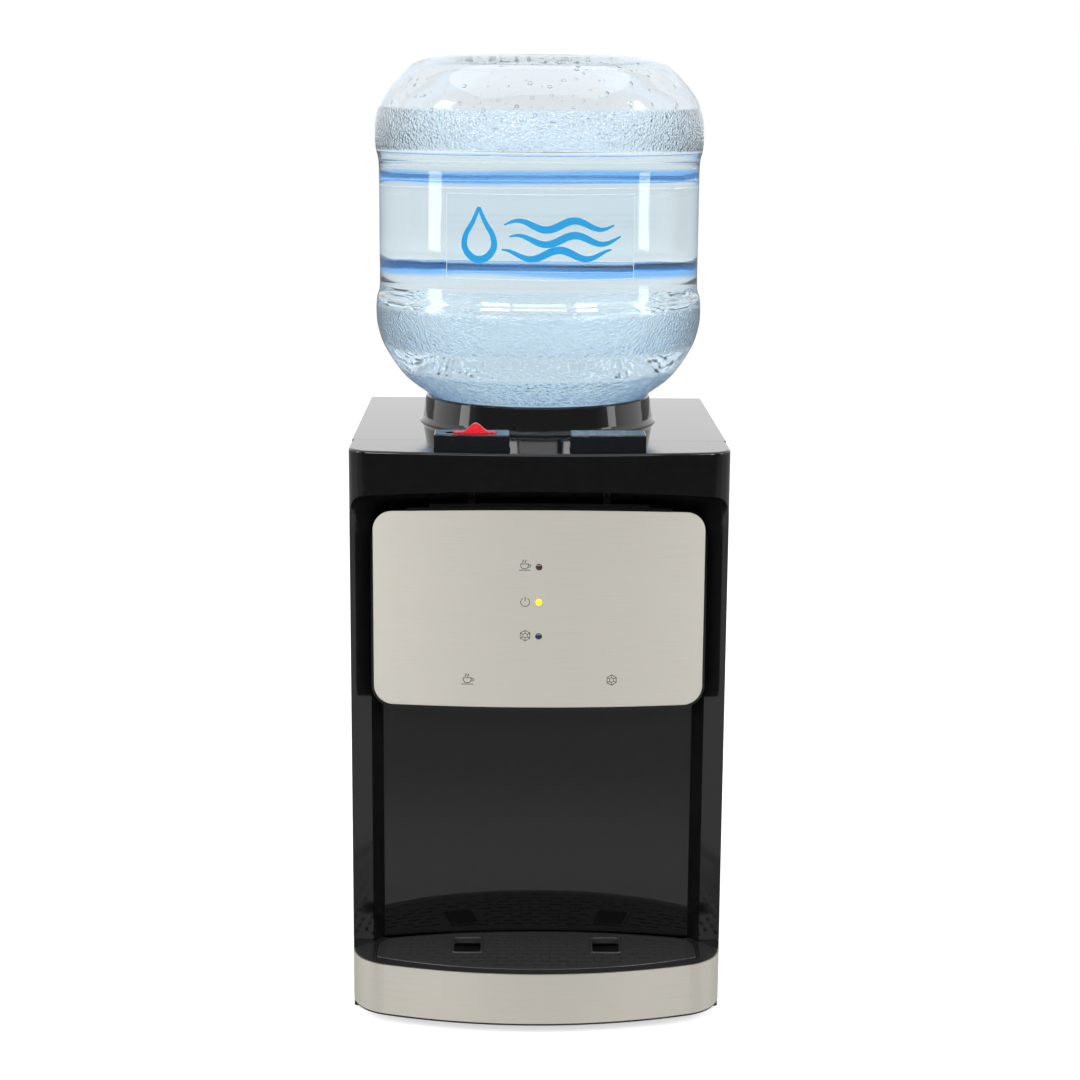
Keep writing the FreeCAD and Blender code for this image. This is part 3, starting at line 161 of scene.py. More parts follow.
# fired alumina plates of the cooler module
alumina = finish_of("white_alumina", "#F0EFEA", "#E3E2DC", (0.4, 0.55), 0.6, 0.01)
red_rocker = finish_of("red_polycarbonate", "#C21F22", "#A8181B", (0.12, 0.2), 1.2, 0.006)
green_rocker = finish_of("green_polycarbonate", "#1F7A45", "#186338", (0.12, 0.2), 1.2, 0.006)
polythene = finish_of("low_density_polythene", "#CFDDE8", "#BFD0DD", (0.3, 0.42), 1.5, 0.02)
# lamp lenses: dyed acrylic; only the middle one is lit
coated = {"Coat Weight": 0.6}
hot_acrylic = finish_of("dark_red_acrylic", "#4A1016", "#2B090D", (0.05, 0.12), 0.8, 0.004, **coated)
cold_acrylic = finish_of("dark_blue_acrylic", "#14233F", "#0B1529", (0.05, 0.12), 0.8, 0.004, **coated)
lit_acrylic = finish_of("lit_amber_acrylic", "#FFDF1A", "#FFC400", (0.1, 0.2), 0.8, 0.004,
                        **{"Emission Color": paint("#FFD21E"), "Emission Strength": 0.75})
print_grey = finish_of("grey_screen_print", "#2C2924", "#3A3630", (0.4, 0.55), 0.4, 0.004)
cut_vinyl = finish_of("cut_vinyl_edge", "#C2D6E2", "#B2C8D6", (0.3, 0.4), 1.0, 0.004)
print_cyan = finish_of("cyan_screen_print", "#0B8CC4", "#0780B8", (0.3, 0.4), 1.0, 0.006)


# ------------------------------------------------------------ see-through materials
# strength and colour of the painted glow on the folds: a faint emission that stands for light carried along
# them in the thick wall
FOLD_GLOW = 0.24
PAINTED_GLOW_COLOUR = "#2E93DC"
# how far the folds wander up and down, and over what height a pebbled band fades
FOLD_WAVER = 0.014
BAND_FADE = 0.002
# tint where the wall is seen edge on
EDGE_TINT = "#86C2EE"
PEBBLE_WIDTH = 2.0 * MM
PEBBLE_HEIGHT = 0.0005
PEBBLE_ROUGH = 0.07
SWELL_HEIGHT = 0.0012


def folded(tree, place, height, under, ledges, tint):
    """Tints the wall where it folds into the grip recess; gives the colour and how much the fold glows, a
    painted glow.
    """
    painted_glow_mask = None
    waver = add(tree, "ShaderNodeTexNoise", {"Vector": place.outputs["Object"]}, Scale=16.0, Detail=1.0)
    offset = add(tree, "ShaderNodeMath", {0: waver.outputs["Fac"]}, operation="MULTIPLY_ADD")
    offset.inputs[1].default_value = FOLD_WAVER
    offset.inputs[2].default_value = -FOLD_WAVER / 2
    level = add(tree, "ShaderNodeMath", {0: height.outputs["Z"], 1: offset.outputs[0]}, operation="ADD")
    rear = add(tree, "ShaderNodeMapRange", {"Value": height.outputs["Y"]}, interpolation_type="SMOOTHSTEP",
               **{"From Min": BOTTLE_AXIS_Y + 0.03, "From Max": BOTTLE_AXIS_Y + 0.07})
    side = add(tree, "ShaderNodeMath", {0: height.outputs["X"]}, operation="ABSOLUTE")
    within = add(tree, "ShaderNodeMapRange", {"Value": side.outputs[0]}, interpolation_type="SMOOTHSTEP",
                 **{"From Min": GRIP_HALF - 0.004, "From Max": GRIP_HALF + 0.004, "To Min": 1.0,
                    "To Max": 0.0})
    rear = add(tree, "ShaderNodeMath", {0: rear.outputs[0], 1: within.outputs[0]}, operation="MULTIPLY")
    for z, thick in ledges:
        gap = add(tree, "ShaderNodeMath", {0: level.outputs[0]}, operation="SUBTRACT")
        gap.inputs[1].default_value = z
        away = add(tree, "ShaderNodeMath", {0: gap.outputs[0]}, operation="ABSOLUTE")
        near = add(tree, "ShaderNodeMapRange", {"Value": away.outputs[0]}, interpolation_type="SMOOTHSTEP",
                   **{"From Min": thick * 0.25, "From Max": thick, "To Min": 0.85, "To Max": 0.0})
        both = add(tree, "ShaderNodeMath", {0: near.outputs[0], 1: rear.outputs[0]}, operation="MULTIPLY")
        under = add(tree, "ShaderNodeMix", {"Factor": both.outputs[0], 6: under.outputs[2]}, data_type="RGBA")
        under.inputs[7].default_value = paint(tint)
        if painted_glow_mask is None:
            painted_glow_mask = both
        else:
            painted_glow_mask = add(tree, "ShaderNodeMath", {0: painted_glow_mask.outputs[0], 1: both.outputs[0]},
                         operation="MAXIMUM")
    return under, painted_glow_mask


def clear_body(name, tint, ior, rough, bands=(), band_tint=None, ledges=(), ledge_tint=None):
    """Moulding or liquid that lets light through.

    Bands are z spans with a pebbled skin; ledges are thick tinted folds with a painted glow, each a height
    and a half width.
    """
    mat = bpy.data.materials.new(name)
    mat.use_nodes = True
    tree = mat.node_tree
    tree.nodes.clear()
    out = add(tree, "ShaderNodeOutputMaterial")
    place = add(tree, "ShaderNodeTexCoord")
    pebbles = add(tree, "ShaderNodeTexVoronoi", {"Vector": place.outputs["Object"]},
                  Scale=1 / PEBBLE_WIDTH)
    ripple = add(tree, "ShaderNodeTexNoise", {"Vector": place.outputs["Object"]}, Scale=14.0, Detail=1.0)
    height = add(tree, "ShaderNodeSeparateXYZ", {"Vector": place.outputs["Object"]})
    mask = None
    for low, high in bands:
        up = add(tree, "ShaderNodeMapRange", {"Value": height.outputs["Z"]}, interpolation_type="SMOOTHSTEP",
                 **{"From Min": low - BAND_FADE, "From Max": low + BAND_FADE})
        down = add(tree, "ShaderNodeMapRange", {"Value": height.outputs["Z"]},
                   interpolation_type="SMOOTHSTEP",
                   **{"From Min": high - BAND_FADE, "From Max": high + BAND_FADE, "To Min": 1.0,
                      "To Max": 0.0})
        both = add(tree, "ShaderNodeMath", {0: up.outputs[0], 1: down.outputs[0]}, operation="MULTIPLY")
        if mask is None:
            mask = both
        else:
            mask = add(tree, "ShaderNodeMath", {0: mask.outputs[0], 1: both.outputs[0]}, operation="MAXIMUM")
    swell = add(tree, "ShaderNodeBump", {"Height": ripple.outputs["Fac"]}, Distance=SWELL_HEIGHT,
                Strength=0.5)
    links = {"Normal": swell.outputs[0]}
    if mask is not None:
        grain = add(tree, "ShaderNodeMath", {0: pebbles.outputs["Distance"], 1: mask.outputs[0]},
                    operation="MULTIPLY")
        relief = add(tree, "ShaderNodeBump", {"Height": grain.outputs[0], "Normal": swell.outputs[0]},
                     Distance=PEBBLE_HEIGHT, Strength=0.9)
        dull = add(tree, "ShaderNodeMapRange", {"Value": mask.outputs[0]},
                   **{"To Min": rough, "To Max": PEBBLE_ROUGH})
        shade = add(tree, "ShaderNodeMix", {"Factor": mask.outputs[0]}, data_type="RGBA")
        shade.inputs[6].default_value = paint(tint)
        shade.inputs[7].default_value = paint(band_tint)
        links = {}
        if ledges:
            shade, painted_glow_mask = folded(tree, place, height, shade, ledges, ledge_tint)
            # painted glow: a faint emission on the folds, though they are no lamp
            painted_glow_strength = add(tree, "ShaderNodeMapRange", {"Value": painted_glow_mask.outputs[0]},
                        **{"To Min": 0.0, "To Max": FOLD_GLOW})
            links["Emission Strength"] = painted_glow_strength.outputs[0]
        edge = add(tree, "ShaderNodeLayerWeight", Blend=0.35)
        thick = add(tree, "ShaderNodeMapRange", {"Value": edge.outputs["Facing"]},
                    interpolation_type="SMOOTHSTEP", **{"From Min": 0.45, "From Max": 0.95, "To Max": 0.8})
        shade = add(tree, "ShaderNodeMix", {"Factor": thick.outputs[0], 6: shade.outputs[2]},
                    data_type="RGBA")
        shade.inputs[7].default_value = paint(EDGE_TINT)
        links.update({"Normal": relief.outputs[0], "Roughness": dull.outputs[0],
                      "Base Color": shade.outputs[2]})
    skin = add(tree, "ShaderNodeBsdfPrincipled", links, IOR=ior, **{"Transmission Weight": 1.0})
    if ledges:
        # colour of the painted glow on the folds
        skin.inputs["Emission Color"].default_value = paint(PAINTED_GLOW_COLOUR)
    if mask is None:
        skin.inputs["Base Color"].default_value = paint(tint)
        skin.inputs["Roughness"].default_value = rough
    tree.links.new(skin.outputs[0], out.inputs["Surface"])
    return mat


# polycarbonate, blown: clear pale blue, pebbled grip bands, slight swell of the wall; the folds of the grip
# recess get a painted glow
PEBBLE_BANDS = ((0.676, 0.706), (0.520, 0.551), (0.478, 0.500))
bottle_blue = clear_body("blown_blue_polycarbonate", "#F2F6F8", 1.45, 0.012, PEBBLE_BANDS, "#E4F0F8",
                         ledges=((GRIP_TOP_Z, 0.009), (GRIP_LOW_Z, 0.008)), ledge_tint="#5FB0EA")
# drinking water, still
still_water = clear_body("still_water", "#E7F0F4", 1.333, 0.0)
# droplets of condensed water
dew = clear_body("condensed_droplets", "#F2FAFE", 1.333, 0.0)
# clear vinyl label film
vinyl = clear_body("clear_vinyl_film", "#EEF6FB", 1.1, 0.04)

WEAR = {
    frame_black: ["front_frame"],
    piano_black: ["alcove_liner", "top_cover", "panel_carrier", "bottle_seat"],
    satin_black: ["base_pan", "drip_tray", "hot_push_rod", "cold_push_rod", "hot_tap", "cold_tap",
                  "fan_frame", "fan_rotor", "drain_fitting", "drain_plug", "switch_housings", "cord_gland",
                  "board_parts"],
    grille_black: ["drip_grille"],
    button_black: ["hot_button", "cold_button"],
    plate_steel: ["faceplate"],
    band_steel: ["base_band"],
    powder_black: ["left_side_panel", "right_side_panel", "back_panel"],
    red_abs: ["child_lock"],
    black_rubber: ["rubber_feet", "seat_gasket"],
    silicone: ["cold_tube", "feed_tube", "hot_tube", "drain_tube"],
    raw_aluminium: ["heat_sink", "cold_block", "thermostats"],
    drawn_steel: ["cold_tank", "hot_tank"],
    galvanised: ["tank_shelf", "hot_tank_stand"],
    zinc_plate: ["case_screws", "fan_guard", "hot_spring", "cold_spring"],
    board_green: ["indicator_board", "power_board"],
    bead_foam: ["tank_foam"],
    glass_wool: ["hot_tank_jacket"],
    white_moulding: ["cold_tank_lid", "probe", "board_posts"],
    heater_brass: ["heater_band"],
    alumina: ["peltier_module"],
    red_rocker: ["hot_rocker"],
    green_rocker: ["cold_rocker"],
    polythene: ["bottle_cap"],
    hot_acrylic: ["hot_lens"],
    lit_acrylic: ["power_lens"],
    cold_acrylic: ["cold_lens"],
    bottle_blue: ["bottle"],
}
for finish, nodes in WEAR.items():
    for node in nodes:
        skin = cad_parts[node]
        skin.data.materials.clear()
        skin.data.materials.append(finish)


# ------------------------------------------------------------ making pieces
def piece(name, mesh, finish, body, smooth=True):
    """Visible piece with one finish, riding on a body."""
    obj = bpy.data.objects.new(name, mesh)
    bpy.context.scene.collection.objects.link(obj)
    mesh.materials.append(finish)
    for face in mesh.polygons:
        face.use_smooth = smooth
    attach(obj, body)
    return obj


def from_bmesh(name, bm):
    """Turns a bmesh into a mesh with its normals turned outwards."""
    bmesh.ops.recalc_face_normals(bm, faces=bm.faces)
    mesh = bpy.data.meshes.new(name)
    bm.to_mesh(mesh)
    bm.free()
    return mesh


def smooth_line(points, steps):
    """Points on a smooth curve through the given (radius, z) points."""
    out = []
    last = len(points) - 1
    for i in range(last):
        a, b, c, d = (points[max(i - 1, 0)], points[i], points[i + 1], points[min(i + 2, last)])
        for k in range(steps):
            t = k / steps
            out.append(tuple(
                0.5 * (2 * b[j] + (c[j] - a[j]) * t + (2 * a[j] - 5 * b[j] + 4 * c[j] - d[j]) * t * t
                       + (3 * b[j] - a[j] - 3 * c[j] + d[j]) * t ** 3) for j in (0, 1)))
    out.append(points[-1])
    return out


def turned(points, segments, y):
    """Closed body of revolution about the vertical axis at y; points are (radius, z), ends on the axis."""
    bm = bmesh.new()
    rings = []
    for r, z in points:
        if r < 1e-6:
            rings.append([bm.verts.new((0, y, z))])
        else:
            rings.append([bm.verts.new((r * math.cos(a), y + r * math.sin(a), z))
                          for a in (2 * math.pi * i / segments for i in range(segments))])
    for low, high in zip(rings, rings[1:]):
        for i in range(segments):
            j = (i + 1) % segments
            ring = [low[i % len(low)], low[j % len(low)], high[j % len(high)], high[i % len(high)]]
            bm.faces.new(list(dict.fromkeys(ring)))
    return bm


# ------------------------------------------------------------ bottle, water, dew
# outer wall of the bottle, millimetres, from the flat end down to the neck
BOTTLE_WALL = [
    (85, 748), (102, 742), (116, 729), (125.5, 717), (131, 703), (132.5, 689), (131.8, 675), (129.6, 664),
    (129.3, 640), (129.3, 600), (129.3, 566), (131.6, 556), (132.2, 545), (131, 532), (125.3, 515.5),
    (111.5, 495), (97.5, 483), (84, 474.8), (62, 463.5), (43, 453.5), (31.5, 441), (27.5, 426),
]
BOTTLE_TOP = 0.748
BOTTLE_SEGMENTS = 160
NECK_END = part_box("bottle")[0].z
WALL = 1.5 * MM
WATER_LEVEL = 0.6745


def inset_wall(depth):
    """Bottle wall in metres, moved inwards by depth along its own normal."""
    wall = smooth_line([(r * MM, z * MM) for r, z in BOTTLE_WALL], 5)
    out = []
    for i, (r, z) in enumerate(wall):
        ra, za = wall[max(i - 1, 0)]
        rb, zb = wall[min(i + 1, len(wall) - 1)]
        length = math.hypot(rb - ra, zb - za)
        out.append((r + depth * (zb - za) / length, z - depth * (rb - ra) / length))
    out[0] = (wall[0][0], wall[0][1] - depth)
    return out


def grip_pocket(grow):
    """Rounded block that forms the hand recess at the rear of the bottle."""
    bm = bmesh.new()
    bmesh.ops.create_cube(bm, size=1.0)
    half_depth = 0.03
    half = Vector((GRIP_HALF + grow, half_depth + grow, (GRIP_TOP_Z - GRIP_LOW_Z) / 2 + grow))
    centre = Vector((0, BOTTLE_AXIS_Y + GRIP_FRONT + half_depth, (GRIP_TOP_Z + GRIP_LOW_Z) / 2))
    for v in bm.verts:
        v.co = Vector((v.co.x * 2 * half.x, v.co.y * 2 * half.y, v.co.z * 2 * half.z)) + centre
    bmesh.ops.bevel(bm, geom=list(bm.edges), offset=GRIP_ROUND + grow, segments=8, affect="EDGES",
                    profile=0.5)
    return from_bmesh("grip_pocket", bm)


def carved(mesh, tools):
    """Mesh with the tool meshes taken away from it."""
    body = bpy.data.objects.new("carving", mesh)
    bpy.context.scene.collection.objects.link(body)
    helpers = []
    for tool in tools:
        other = bpy.data.objects.new("tool", tool)
        bpy.context.scene.collection.objects.link(other)
        helpers.append(other)
        cut = body.modifiers.new("cut", "BOOLEAN")
        cut.operation = "DIFFERENCE"
        cut.solver = "EXACT"
        cut.object = other
    bpy.context.view_layer.update()
    done = bpy.data.meshes.new_from_object(body.evaluated_get(bpy.context.evaluated_depsgraph_get()))
    for other in helpers + [body]:
        bpy.data.objects.remove(other)
    return done


def bottle_solid(depth, foot):
    """Solid inside the wall at this depth, from the flat end down to foot."""
    wall = [(0.0, BOTTLE_TOP - depth)] + inset_wall(depth)
    wall += [(wall[-1][0], foot), (0.0, foot)]
    return from_bmesh("wall", turned(wall, BOTTLE_SEGMENTS, BOTTLE_AXIS_Y))


shell = carved(bottle_solid(0.0, NECK_END), [grip_pocket(0.0)])
hollow = carved(bottle_solid(WALL, NECK_END - 0.002), [grip_pocket(WALL)])
bottle = piece("bottle_shell", carved(shell, [hollow]), bottle_blue, "bottle")
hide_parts("bottle")

# the water reaches 0.3 mm into the wall, so no air shows between them
skin_depth = WALL - 0.3 * MM
column = [p for p in inset_wall(skin_depth) if p[1] < WATER_LEVEL - 0.002]
rim = [p for p in inset_wall(skin_depth) if p[1] >= WATER_LEVEL - 0.002][-1][0]
surface = [(0.0, WATER_LEVEL), (rim - 0.006, WATER_LEVEL), (rim - 0.002, WATER_LEVEL + 0.0004),
           (rim, WATER_LEVEL + 0.0012)]
foot = NECK_END + 0.001
body = surface + column + [(column[-1][0], foot), (0.0, foot)]
water = turned(body, BOTTLE_SEGMENTS, BOTTLE_AXIS_Y)
water = carved(from_bmesh("water", water), [grip_pocket(skin_depth)])
piece("bottle_water", water, still_water, "bottle")

# droplets on the inner wall, half of them under the flat end
DROP_COUNT = 420
DROP_FLATNESS = 0.2
DROP_SIZES = (0.5, 0.7, 0.9, 1.3, 1.9)
DROP_FIELD_R = 0.080
rng = random.Random(11)
bm = bmesh.new()
inner = inset_wall(WALL)
for n in range(DROP_COUNT):
    size = rng.choice(DROP_SIZES) * MM
    turn = rng.uniform(0, 2 * math.pi)
    if n % 2:
        r = DROP_FIELD_R * math.sqrt(rng.random())
        spot = Vector((r * math.cos(turn), BOTTLE_AXIS_Y + r * math.sin(turn), BOTTLE_TOP - WALL))
        up = Vector((0, 0, -1))
    else:
        i = rng.randrange(3, 22)
        r, z = inner[i]
        spot = Vector((r * math.cos(turn), BOTTLE_AXIS_Y + r * math.sin(turn), z))
        (ra, za), (rb, zb) = inner[i - 1], inner[i + 1]
        out = Vector((zb - za, 0, ra - rb)).normalized()
        up = Vector((out.x * math.cos(turn), out.x * math.sin(turn), out.z))
    pose = up.to_track_quat("Z", "Y").to_matrix().to_4x4()
    drop_scale = (size, size * rng.uniform(0.8, 1.2), size * DROP_FLATNESS, 1)
    pose = Matrix.Translation(spot) @ pose @ Matrix.Diagonal(drop_scale)
    bmesh.ops.create_uvsphere(bm, u_segments=10, v_segments=6, radius=1.0, matrix=pose)
piece("condensation", from_bmesh("condensation", bm), dew, "bottle")


# ------------------------------------------------------------ return springs
SPRING_WIRE = 0.55 * MM
SPRING_TURNS = 5
SPRING_STEPS = 24 * SPRING_TURNS
SPRING_SIDES = 8


def coil_spring(name, low, high):
    """Round wire wound about the vertical axis of its box."""
    bm = bmesh.new()
    axis = (low + high) / 2
    coil_r = (high.x - low.x) / 2 - SPRING_WIRE
    rise = high.z - low.z - 2 * SPRING_WIRE
    rings = []
    for i in range(SPRING_STEPS + 1):
        turn = 2 * math.pi * i * SPRING_TURNS / SPRING_STEPS
        z = low.z + SPRING_WIRE + rise * i / SPRING_STEPS
        ring = []
        for b in (2 * math.pi * k / SPRING_SIDES for k in range(SPRING_SIDES)):
            r = coil_r + SPRING_WIRE * math.cos(b)
            ring.append(bm.verts.new((axis.x + r * math.cos(turn), axis.y + r * math.sin(turn),
                                      z + SPRING_WIRE * math.sin(b))))
        rings.append(ring)
    for a, b in zip(rings, rings[1:]):
        for k in range(SPRING_SIDES):
            j = (k + 1) % SPRING_SIDES
            bm.faces.new((a[k], a[j], b[j], b[k]))
    bm.faces.new(rings[0])
    bm.faces.new(rings[-1])
    return from_bmesh(name, bm)


for side in ("hot", "cold"):
    low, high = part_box(side + "_spring")
    name = side + "_return_spring"
    spring = piece(name, coil_spring(name, low, high), zinc_plate, "case")
    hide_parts(side + "_spring")
    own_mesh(spring)


# ------------------------------------------------------------ printed marks
def ribbon(bm, path, width, wrap):
    """Flat stroke along a 2-D path; wrap places a 2-D point on the surface."""
    last = len(path) - 1
    pairs = []
    for i, p in enumerate(path):
        a = path[max(i - 1, 0)]
        b = path[min(i + 1, last)]
        way = Vector((b[0] - a[0], b[1] - a[1])).normalized()
        w = width(i / last) / 2 if callable(width) else width / 2
        pairs.append([bm.verts.new(wrap(p[0] - way.y * w * s, p[1] + way.x * w * s)) for s in (1, -1)])
    for a, b in zip(pairs, pairs[1:]):
        bm.faces.new((a[0], a[1], b[1], b[0]))


def arc(x, z, r, start, sweep, steps=28):
    """Points along an arc, angles in degrees."""
    turns = [math.radians(start + sweep * i / steps) for i in range(steps + 1)]
    return [(x + r * math.cos(a), z + r * math.sin(a)) for a in turns]


# radius of the steel panel's bow, seen from above
BOW = 1355.6 * MM
STROKE = 0.55 * MM


def on_plate(x, z):
    """Place on the panel, 0.04 mm proud of the steel."""
    return (x, PLATE_FRONT_Y + BOW - math.sqrt(BOW * BOW - x * x) - 0.04 * MM, z)


def cup(x, z, s):
    """Steaming cup on a saucer, 2.5 times s wide."""
    bowl = [(-1, .35), (-.9, -.2), (-.6, -.6), (-.1, -.7), (.35, -.6), (.62, -.2), (.75, .35)]
    strokes = [smooth_line(bowl, 4), [(-1, .35), (.75, .35)],
               smooth_line([(.7, .2), (1.15, .12), (1.08, -.28), (.55, -.3)], 4), [(-1.35, -1), (1.1, -1)]]
    for dx in (-.45, .1):
        strokes.append(smooth_line([(dx, .6), (dx - .15, .8), (dx + .1, 1.0), (dx, 1.25)], 4))
    return [[(x + a * s, z + b * s) for a, b in path] for path in strokes]


def flake(x, z, s):
    """Snow crystal: two hexagons joined by six spokes."""
    strokes = []
    for r in (1.0, 0.45):
        turns = [math.radians(60 * i + 30) for i in range(7)]
        strokes.append([(x + r * s * math.cos(a), z + r * s * math.sin(a)) for a in turns])
    for i in range(6):
        a = math.radians(60 * i + 30)
        strokes.append([(x + r * s * math.cos(a), z + r * s * math.sin(a)) for r in (.45, 1.0)])
    return strokes


def power(x, z, s):
    """Open ring with a bar through its gap."""
    return [arc(x, z, s, 120, 300), [(x, z + s * 0.2), (x, z + s * 1.25)]]


LAMP_X = sum(v.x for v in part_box("power_lens")) / 2
LAMP_Z = {n: sum(v.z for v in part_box(n + "_lens")) / 2 for n in ("hot", "power", "cold")}
bm = bmesh.new()
marks = cup(LAMP_X - 10.6 * MM, LAMP_Z["hot"] + 1.2 * MM, 3.6 * MM)
marks += power(LAMP_X - 10.5 * MM, LAMP_Z["power"], 3.4 * MM)
marks += flake(LAMP_X - 10.4 * MM, LAMP_Z["cold"] + 0.6 * MM, 4.2 * MM)
marks += cup(-54.4 * MM, 274.6 * MM, 3.7 * MM)
marks += flake(56.7 * MM, 274.4 * MM, 4.1 * MM)
for path in marks:
    ribbon(bm, path, STROKE, on_plate)
piece("panel_pictograms", from_bmesh("panel_pictograms", bm), print_grey, "case", False)

# label on the front of the bottle: 0.25 mm off its waist, half sizes in millimetres
LABEL_R = 129.3 * MM + 0.25 * MM
LABEL_Z = 0.612
LABEL_HALF_X = 76
LABEL_HALF_Z = 32
FILM_STEPS = 40
EDGE_STEPS = 24
WAVE_STEPS = 60


def on_bottle(x, z):
    """Place on the label, x measured round the bottle."""
    a = x / LABEL_R
    return (LABEL_R * math.sin(a), BOTTLE_AXIS_Y - LABEL_R * math.cos(a), z)


bm = bmesh.new()
film = []
for z in (-LABEL_HALF_Z * MM, LABEL_HALF_Z * MM):
    across = [LABEL_HALF_X * MM * (2 * i / FILM_STEPS - 1) for i in range(FILM_STEPS + 1)]
    film.append([bm.verts.new(on_bottle(x, LABEL_Z + z)) for x in across])
for i in range(FILM_STEPS):
    bm.faces.new((film[0][i], film[0][i + 1], film[1][i + 1], film[1][i]))
film_piece = piece("label_film", from_bmesh("label_film", bm), vinyl, "bottle")
# the film lies 0.12 mm under its print
for v in film_piece.data.vertices:
    v.co.y += 0.12 * MM

bm = bmesh.new()
corners = [(LABEL_HALF_X * x, LABEL_HALF_Z * z) for x, z in ((-1, -1), (1, -1), (1, 1), (-1, 1))]
for a, b in zip(corners, corners[1:] + corners[:1]):
    parts = [i / EDGE_STEPS for i in range(EDGE_STEPS + 1)]
    edge = [(a[0] + (b[0] - a[0]) * t, a[1] + (b[1] - a[1]) * t) for t in parts]
    ribbon(bm, [(x * MM, LABEL_Z + z * MM) for x, z in edge], 0.5 * MM, on_bottle)
piece("label_edge", from_bmesh("label_edge", bm), cut_vinyl, "bottle", False)

bm = bmesh.new()
drop = smooth_line([(-48, 22), (-53, 11), (-59, 1), (-60, -8), (-55, -15), (-48, -17.5), (-41, -15),
                    (-36, -8), (-37, 1), (-43, 11), (-48, 22)], 6)
ribbon(bm, [(x * MM, LABEL_Z + z * MM) for x, z in drop],
       lambda t: (2.6 + 3.0 * math.sin(math.pi * t)) * MM, on_bottle)
for row, (start, end, z) in enumerate(((-28, 58, 9), (-24, 64, -2), (-30, 56, -13))):
    parts = [i / WAVE_STEPS for i in range(WAVE_STEPS + 1)]
    wave = [(start + (end - start) * t, z + 3.4 * math.sin(t * math.pi * 4 + row * 0.7)) for t in parts]
    ribbon(bm, [(x * MM, LABEL_Z + z * MM) for x, z in wave],
           lambda t: (1.0 + 4.8 * math.sin(math.pi * t) ** 0.8) * MM, on_bottle)
piece("bottle_wave_mark", from_bmesh("bottle_wave_mark", bm), print_cyan, "bottle", False)


# ------------------------------------------------------------ floor, light, camera
def stage_finish(name, colour, glow, near, far):
    """Pale floor, washed towards white in direct view; in gloss it is dim, and dark further out in front."""
    mat = bpy.data.materials.new(name)
    mat.use_nodes = True
    tree = mat.node_tree
    tree.nodes.clear()
    out = add(tree, "ShaderNodeOutputMaterial")
    seen = add(tree, "ShaderNodeLightPath")
    matt = add(tree, "ShaderNodeBsdfDiffuse", Color=paint(colour))
    place = add(tree, "ShaderNodeTexCoord")
    axes = add(tree, "ShaderNodeSeparateXYZ", {"Vector": place.outputs["Object"]})
    level = add(tree, "ShaderNodeMapRange", {"Value": axes.outputs["Y"]}, interpolation_type="SMOOTHSTEP",
                **{"From Min": -1.9, "From Max": -1.2, "To Min": far, "To Max": near})
    close = add(tree, "ShaderNodeMapRange", {"Value": axes.outputs["Y"]}, interpolation_type="SMOOTHSTEP",
                **{"From Min": -0.75, "From Max": -0.35, "To Min": 0.0, "To Max": 0.24})
    whole = add(tree, "ShaderNodeMath", {0: level.outputs[0], 1: close.outputs[0]}, operation="ADD")
    dim = add(tree, "ShaderNodeBsdfDiffuse", {"Color": whole.outputs[0]})
    below = add(tree, "ShaderNodeMixShader",
                {"Fac": seen.outputs["Is Glossy Ray"], 1: matt.outputs[0], 2: dim.outputs[0]})
    white = add(tree, "ShaderNodeEmission", Color=(1, 1, 1, 1), Strength=glow)
    both = add(tree, "ShaderNodeAddShader", {0: matt.outputs[0], 1: white.outputs[0]})
    sight = add(tree, "ShaderNodeMath",
                {0: seen.outputs["Is Camera Ray"], 1: seen.outputs["Is Transmission Ray"]},
                operation="MAXIMUM")
    mixed = add(tree, "ShaderNodeMixShader",
                {"Fac": sight.outputs[0], 1: below.outputs[0], 2: both.outputs[0]})
    tree.links.new(mixed.outputs[0], out.inputs["Surface"])
    return mat


bpy.ops.mesh.primitive_plane_add(size=60, location=(0, 0, -0.0002))
floor = bpy.context.object
floor.name = "floor"
floor.data.materials.append(stage_finish("pale_floor", "#EDEDEB", 0.62, 0.29, 0.02))

world = bpy.data.worlds.new("studio")
bpy.context.scene.world = world
world.use_nodes = True
tree = world.node_tree
tree.nodes.clear()
out = add(tree, "ShaderNodeOutputWorld")
seen = add(tree, "ShaderNodeLightPath")
way = add(tree, "ShaderNodeTexCoord")
axes = add(tree, "ShaderNodeSeparateXYZ", {"Vector": way.outputs["Generated"]})
# glossy parts see a dim room in front and a white cove behind and above
behind = add(tree, "ShaderNodeMapRange", {"Value": axes.outputs["Y"]}, interpolation_type="SMOOTHSTEP",
             **{"From Min": -0.55, "From Max": 0.2, "To Min": 0.16, "To Max": 1.3})
room = add(tree, "ShaderNodeBackground", {"Strength": behind.outputs[0]}, Color=paint("#FFFFFF"))
white = add(tree, "ShaderNodeBackground", Color=(1, 1, 1, 1), Strength=1.0)
soft = add(tree, "ShaderNodeBackground", Color=paint("#FFFFFF"), Strength=0.5)
glossy = add(tree, "ShaderNodeMixShader",
             {"Fac": seen.outputs["Is Glossy Ray"], 1: soft.outputs[0], 2: room.outputs[0]})
clear = add(tree, "ShaderNodeMath",
            {0: seen.outputs["Is Camera Ray"], 1: seen.outputs["Is Transmission Ray"]}, operation="MAXIMUM")
shown = add(tree, "ShaderNodeMixShader", {"Fac": clear.outputs[0], 1: glossy.outputs[0], 2: white.outputs[0]})
tree.links.new(shown.outputs[0], out.inputs["Surface"])


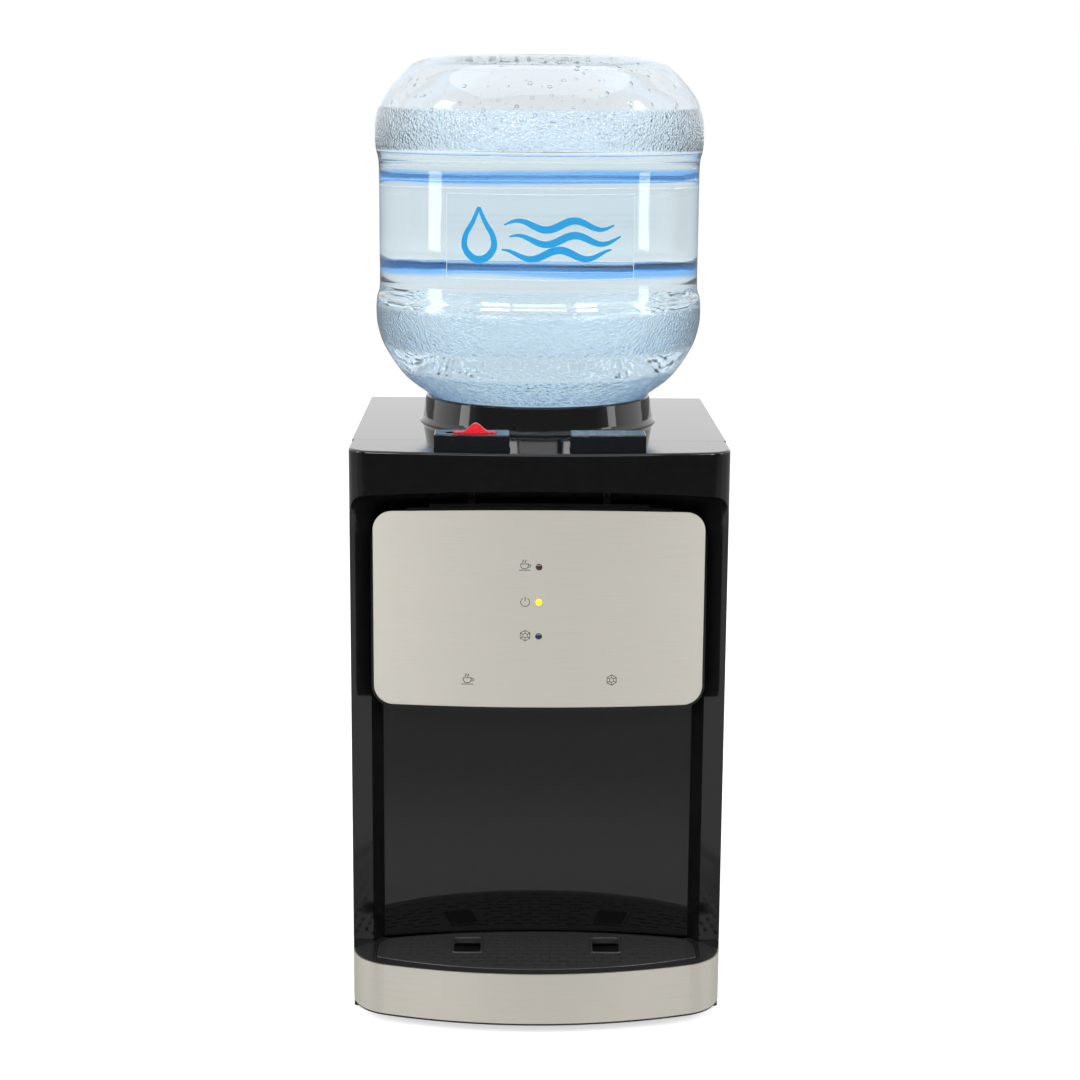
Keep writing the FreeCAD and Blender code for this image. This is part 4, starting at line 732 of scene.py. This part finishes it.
def softbox(name, spot, target, width, height, watts):
    """Rectangular area light at spot, turned to the target."""
    lamp = bpy.data.lights.new(name, "AREA")
    lamp.shape = "RECTANGLE"
    lamp.size = width
    lamp.size_y = height
    lamp.energy = watts
    obj = bpy.data.objects.new(name, lamp)
    bpy.context.scene.collection.objects.link(obj)
    obj.location = spot
    obj.rotation_euler = (Vector(target) - Vector(spot)).to_track_quat("-Z", "Y").to_euler()
    return obj


softbox("left_strip", (-2.0, -0.40, 1.25), (0, 0, 0.55), 0.46, 1.7, 9)
softbox("right_strip", (2.0, -0.40, 1.25), (0, 0, 0.55), 0.38, 1.7, 7)
softbox("left_front_softbox", (-1.5, -2.4, 1.7), (0, 0, 0.35), 1.0, 0.8, 34)
softbox("right_front_softbox", (1.6, -2.3, 1.7), (0, 0, 0.35), 0.8, 0.8, 29)
softbox("overhead_softbox", (0, -0.1, 2.5), (0, 0, 0.3), 2.6, 1.8, 13)
softbox("front_softbox", (0, -2.8, 1.9), (0, 0, 0.3), 2.0, 0.7, 22)

# short telephoto view from slightly above, almost square on
FOCAL_MM = 73.57
SENSOR_MM = 36
CAMERA_X = -0.0207
CAMERA_DISTANCE = 1.6565
CAMERA_HEIGHT = 0.7185
YAW, PITCH, ROLL = (math.radians(a) for a in (0.739, 11.432, 0.387))
ahead = Vector((math.sin(YAW) * math.cos(PITCH), math.cos(YAW) * math.cos(PITCH), -math.sin(PITCH)))
right = Vector((math.cos(YAW), -math.sin(YAW), 0))
up = right.cross(ahead)
right, up = (right * math.cos(ROLL) + up * math.sin(ROLL), up * math.cos(ROLL) - right * math.sin(ROLL))
lens = bpy.data.cameras.new("camera")
lens.lens = FOCAL_MM
lens.sensor_width = SENSOR_MM
camera = bpy.data.objects.new("camera", lens)
bpy.context.scene.collection.objects.link(camera)
turn = Matrix((right, up, -ahead)).transposed().to_4x4()
spot = (CAMERA_X, SIDE_EDGE_Y - CAMERA_DISTANCE, CAMERA_HEIGHT)
camera.matrix_world = Matrix.Translation(spot) @ turn
bpy.context.scene.camera = camera
bpy.context.scene.view_settings.view_transform = "Standard"
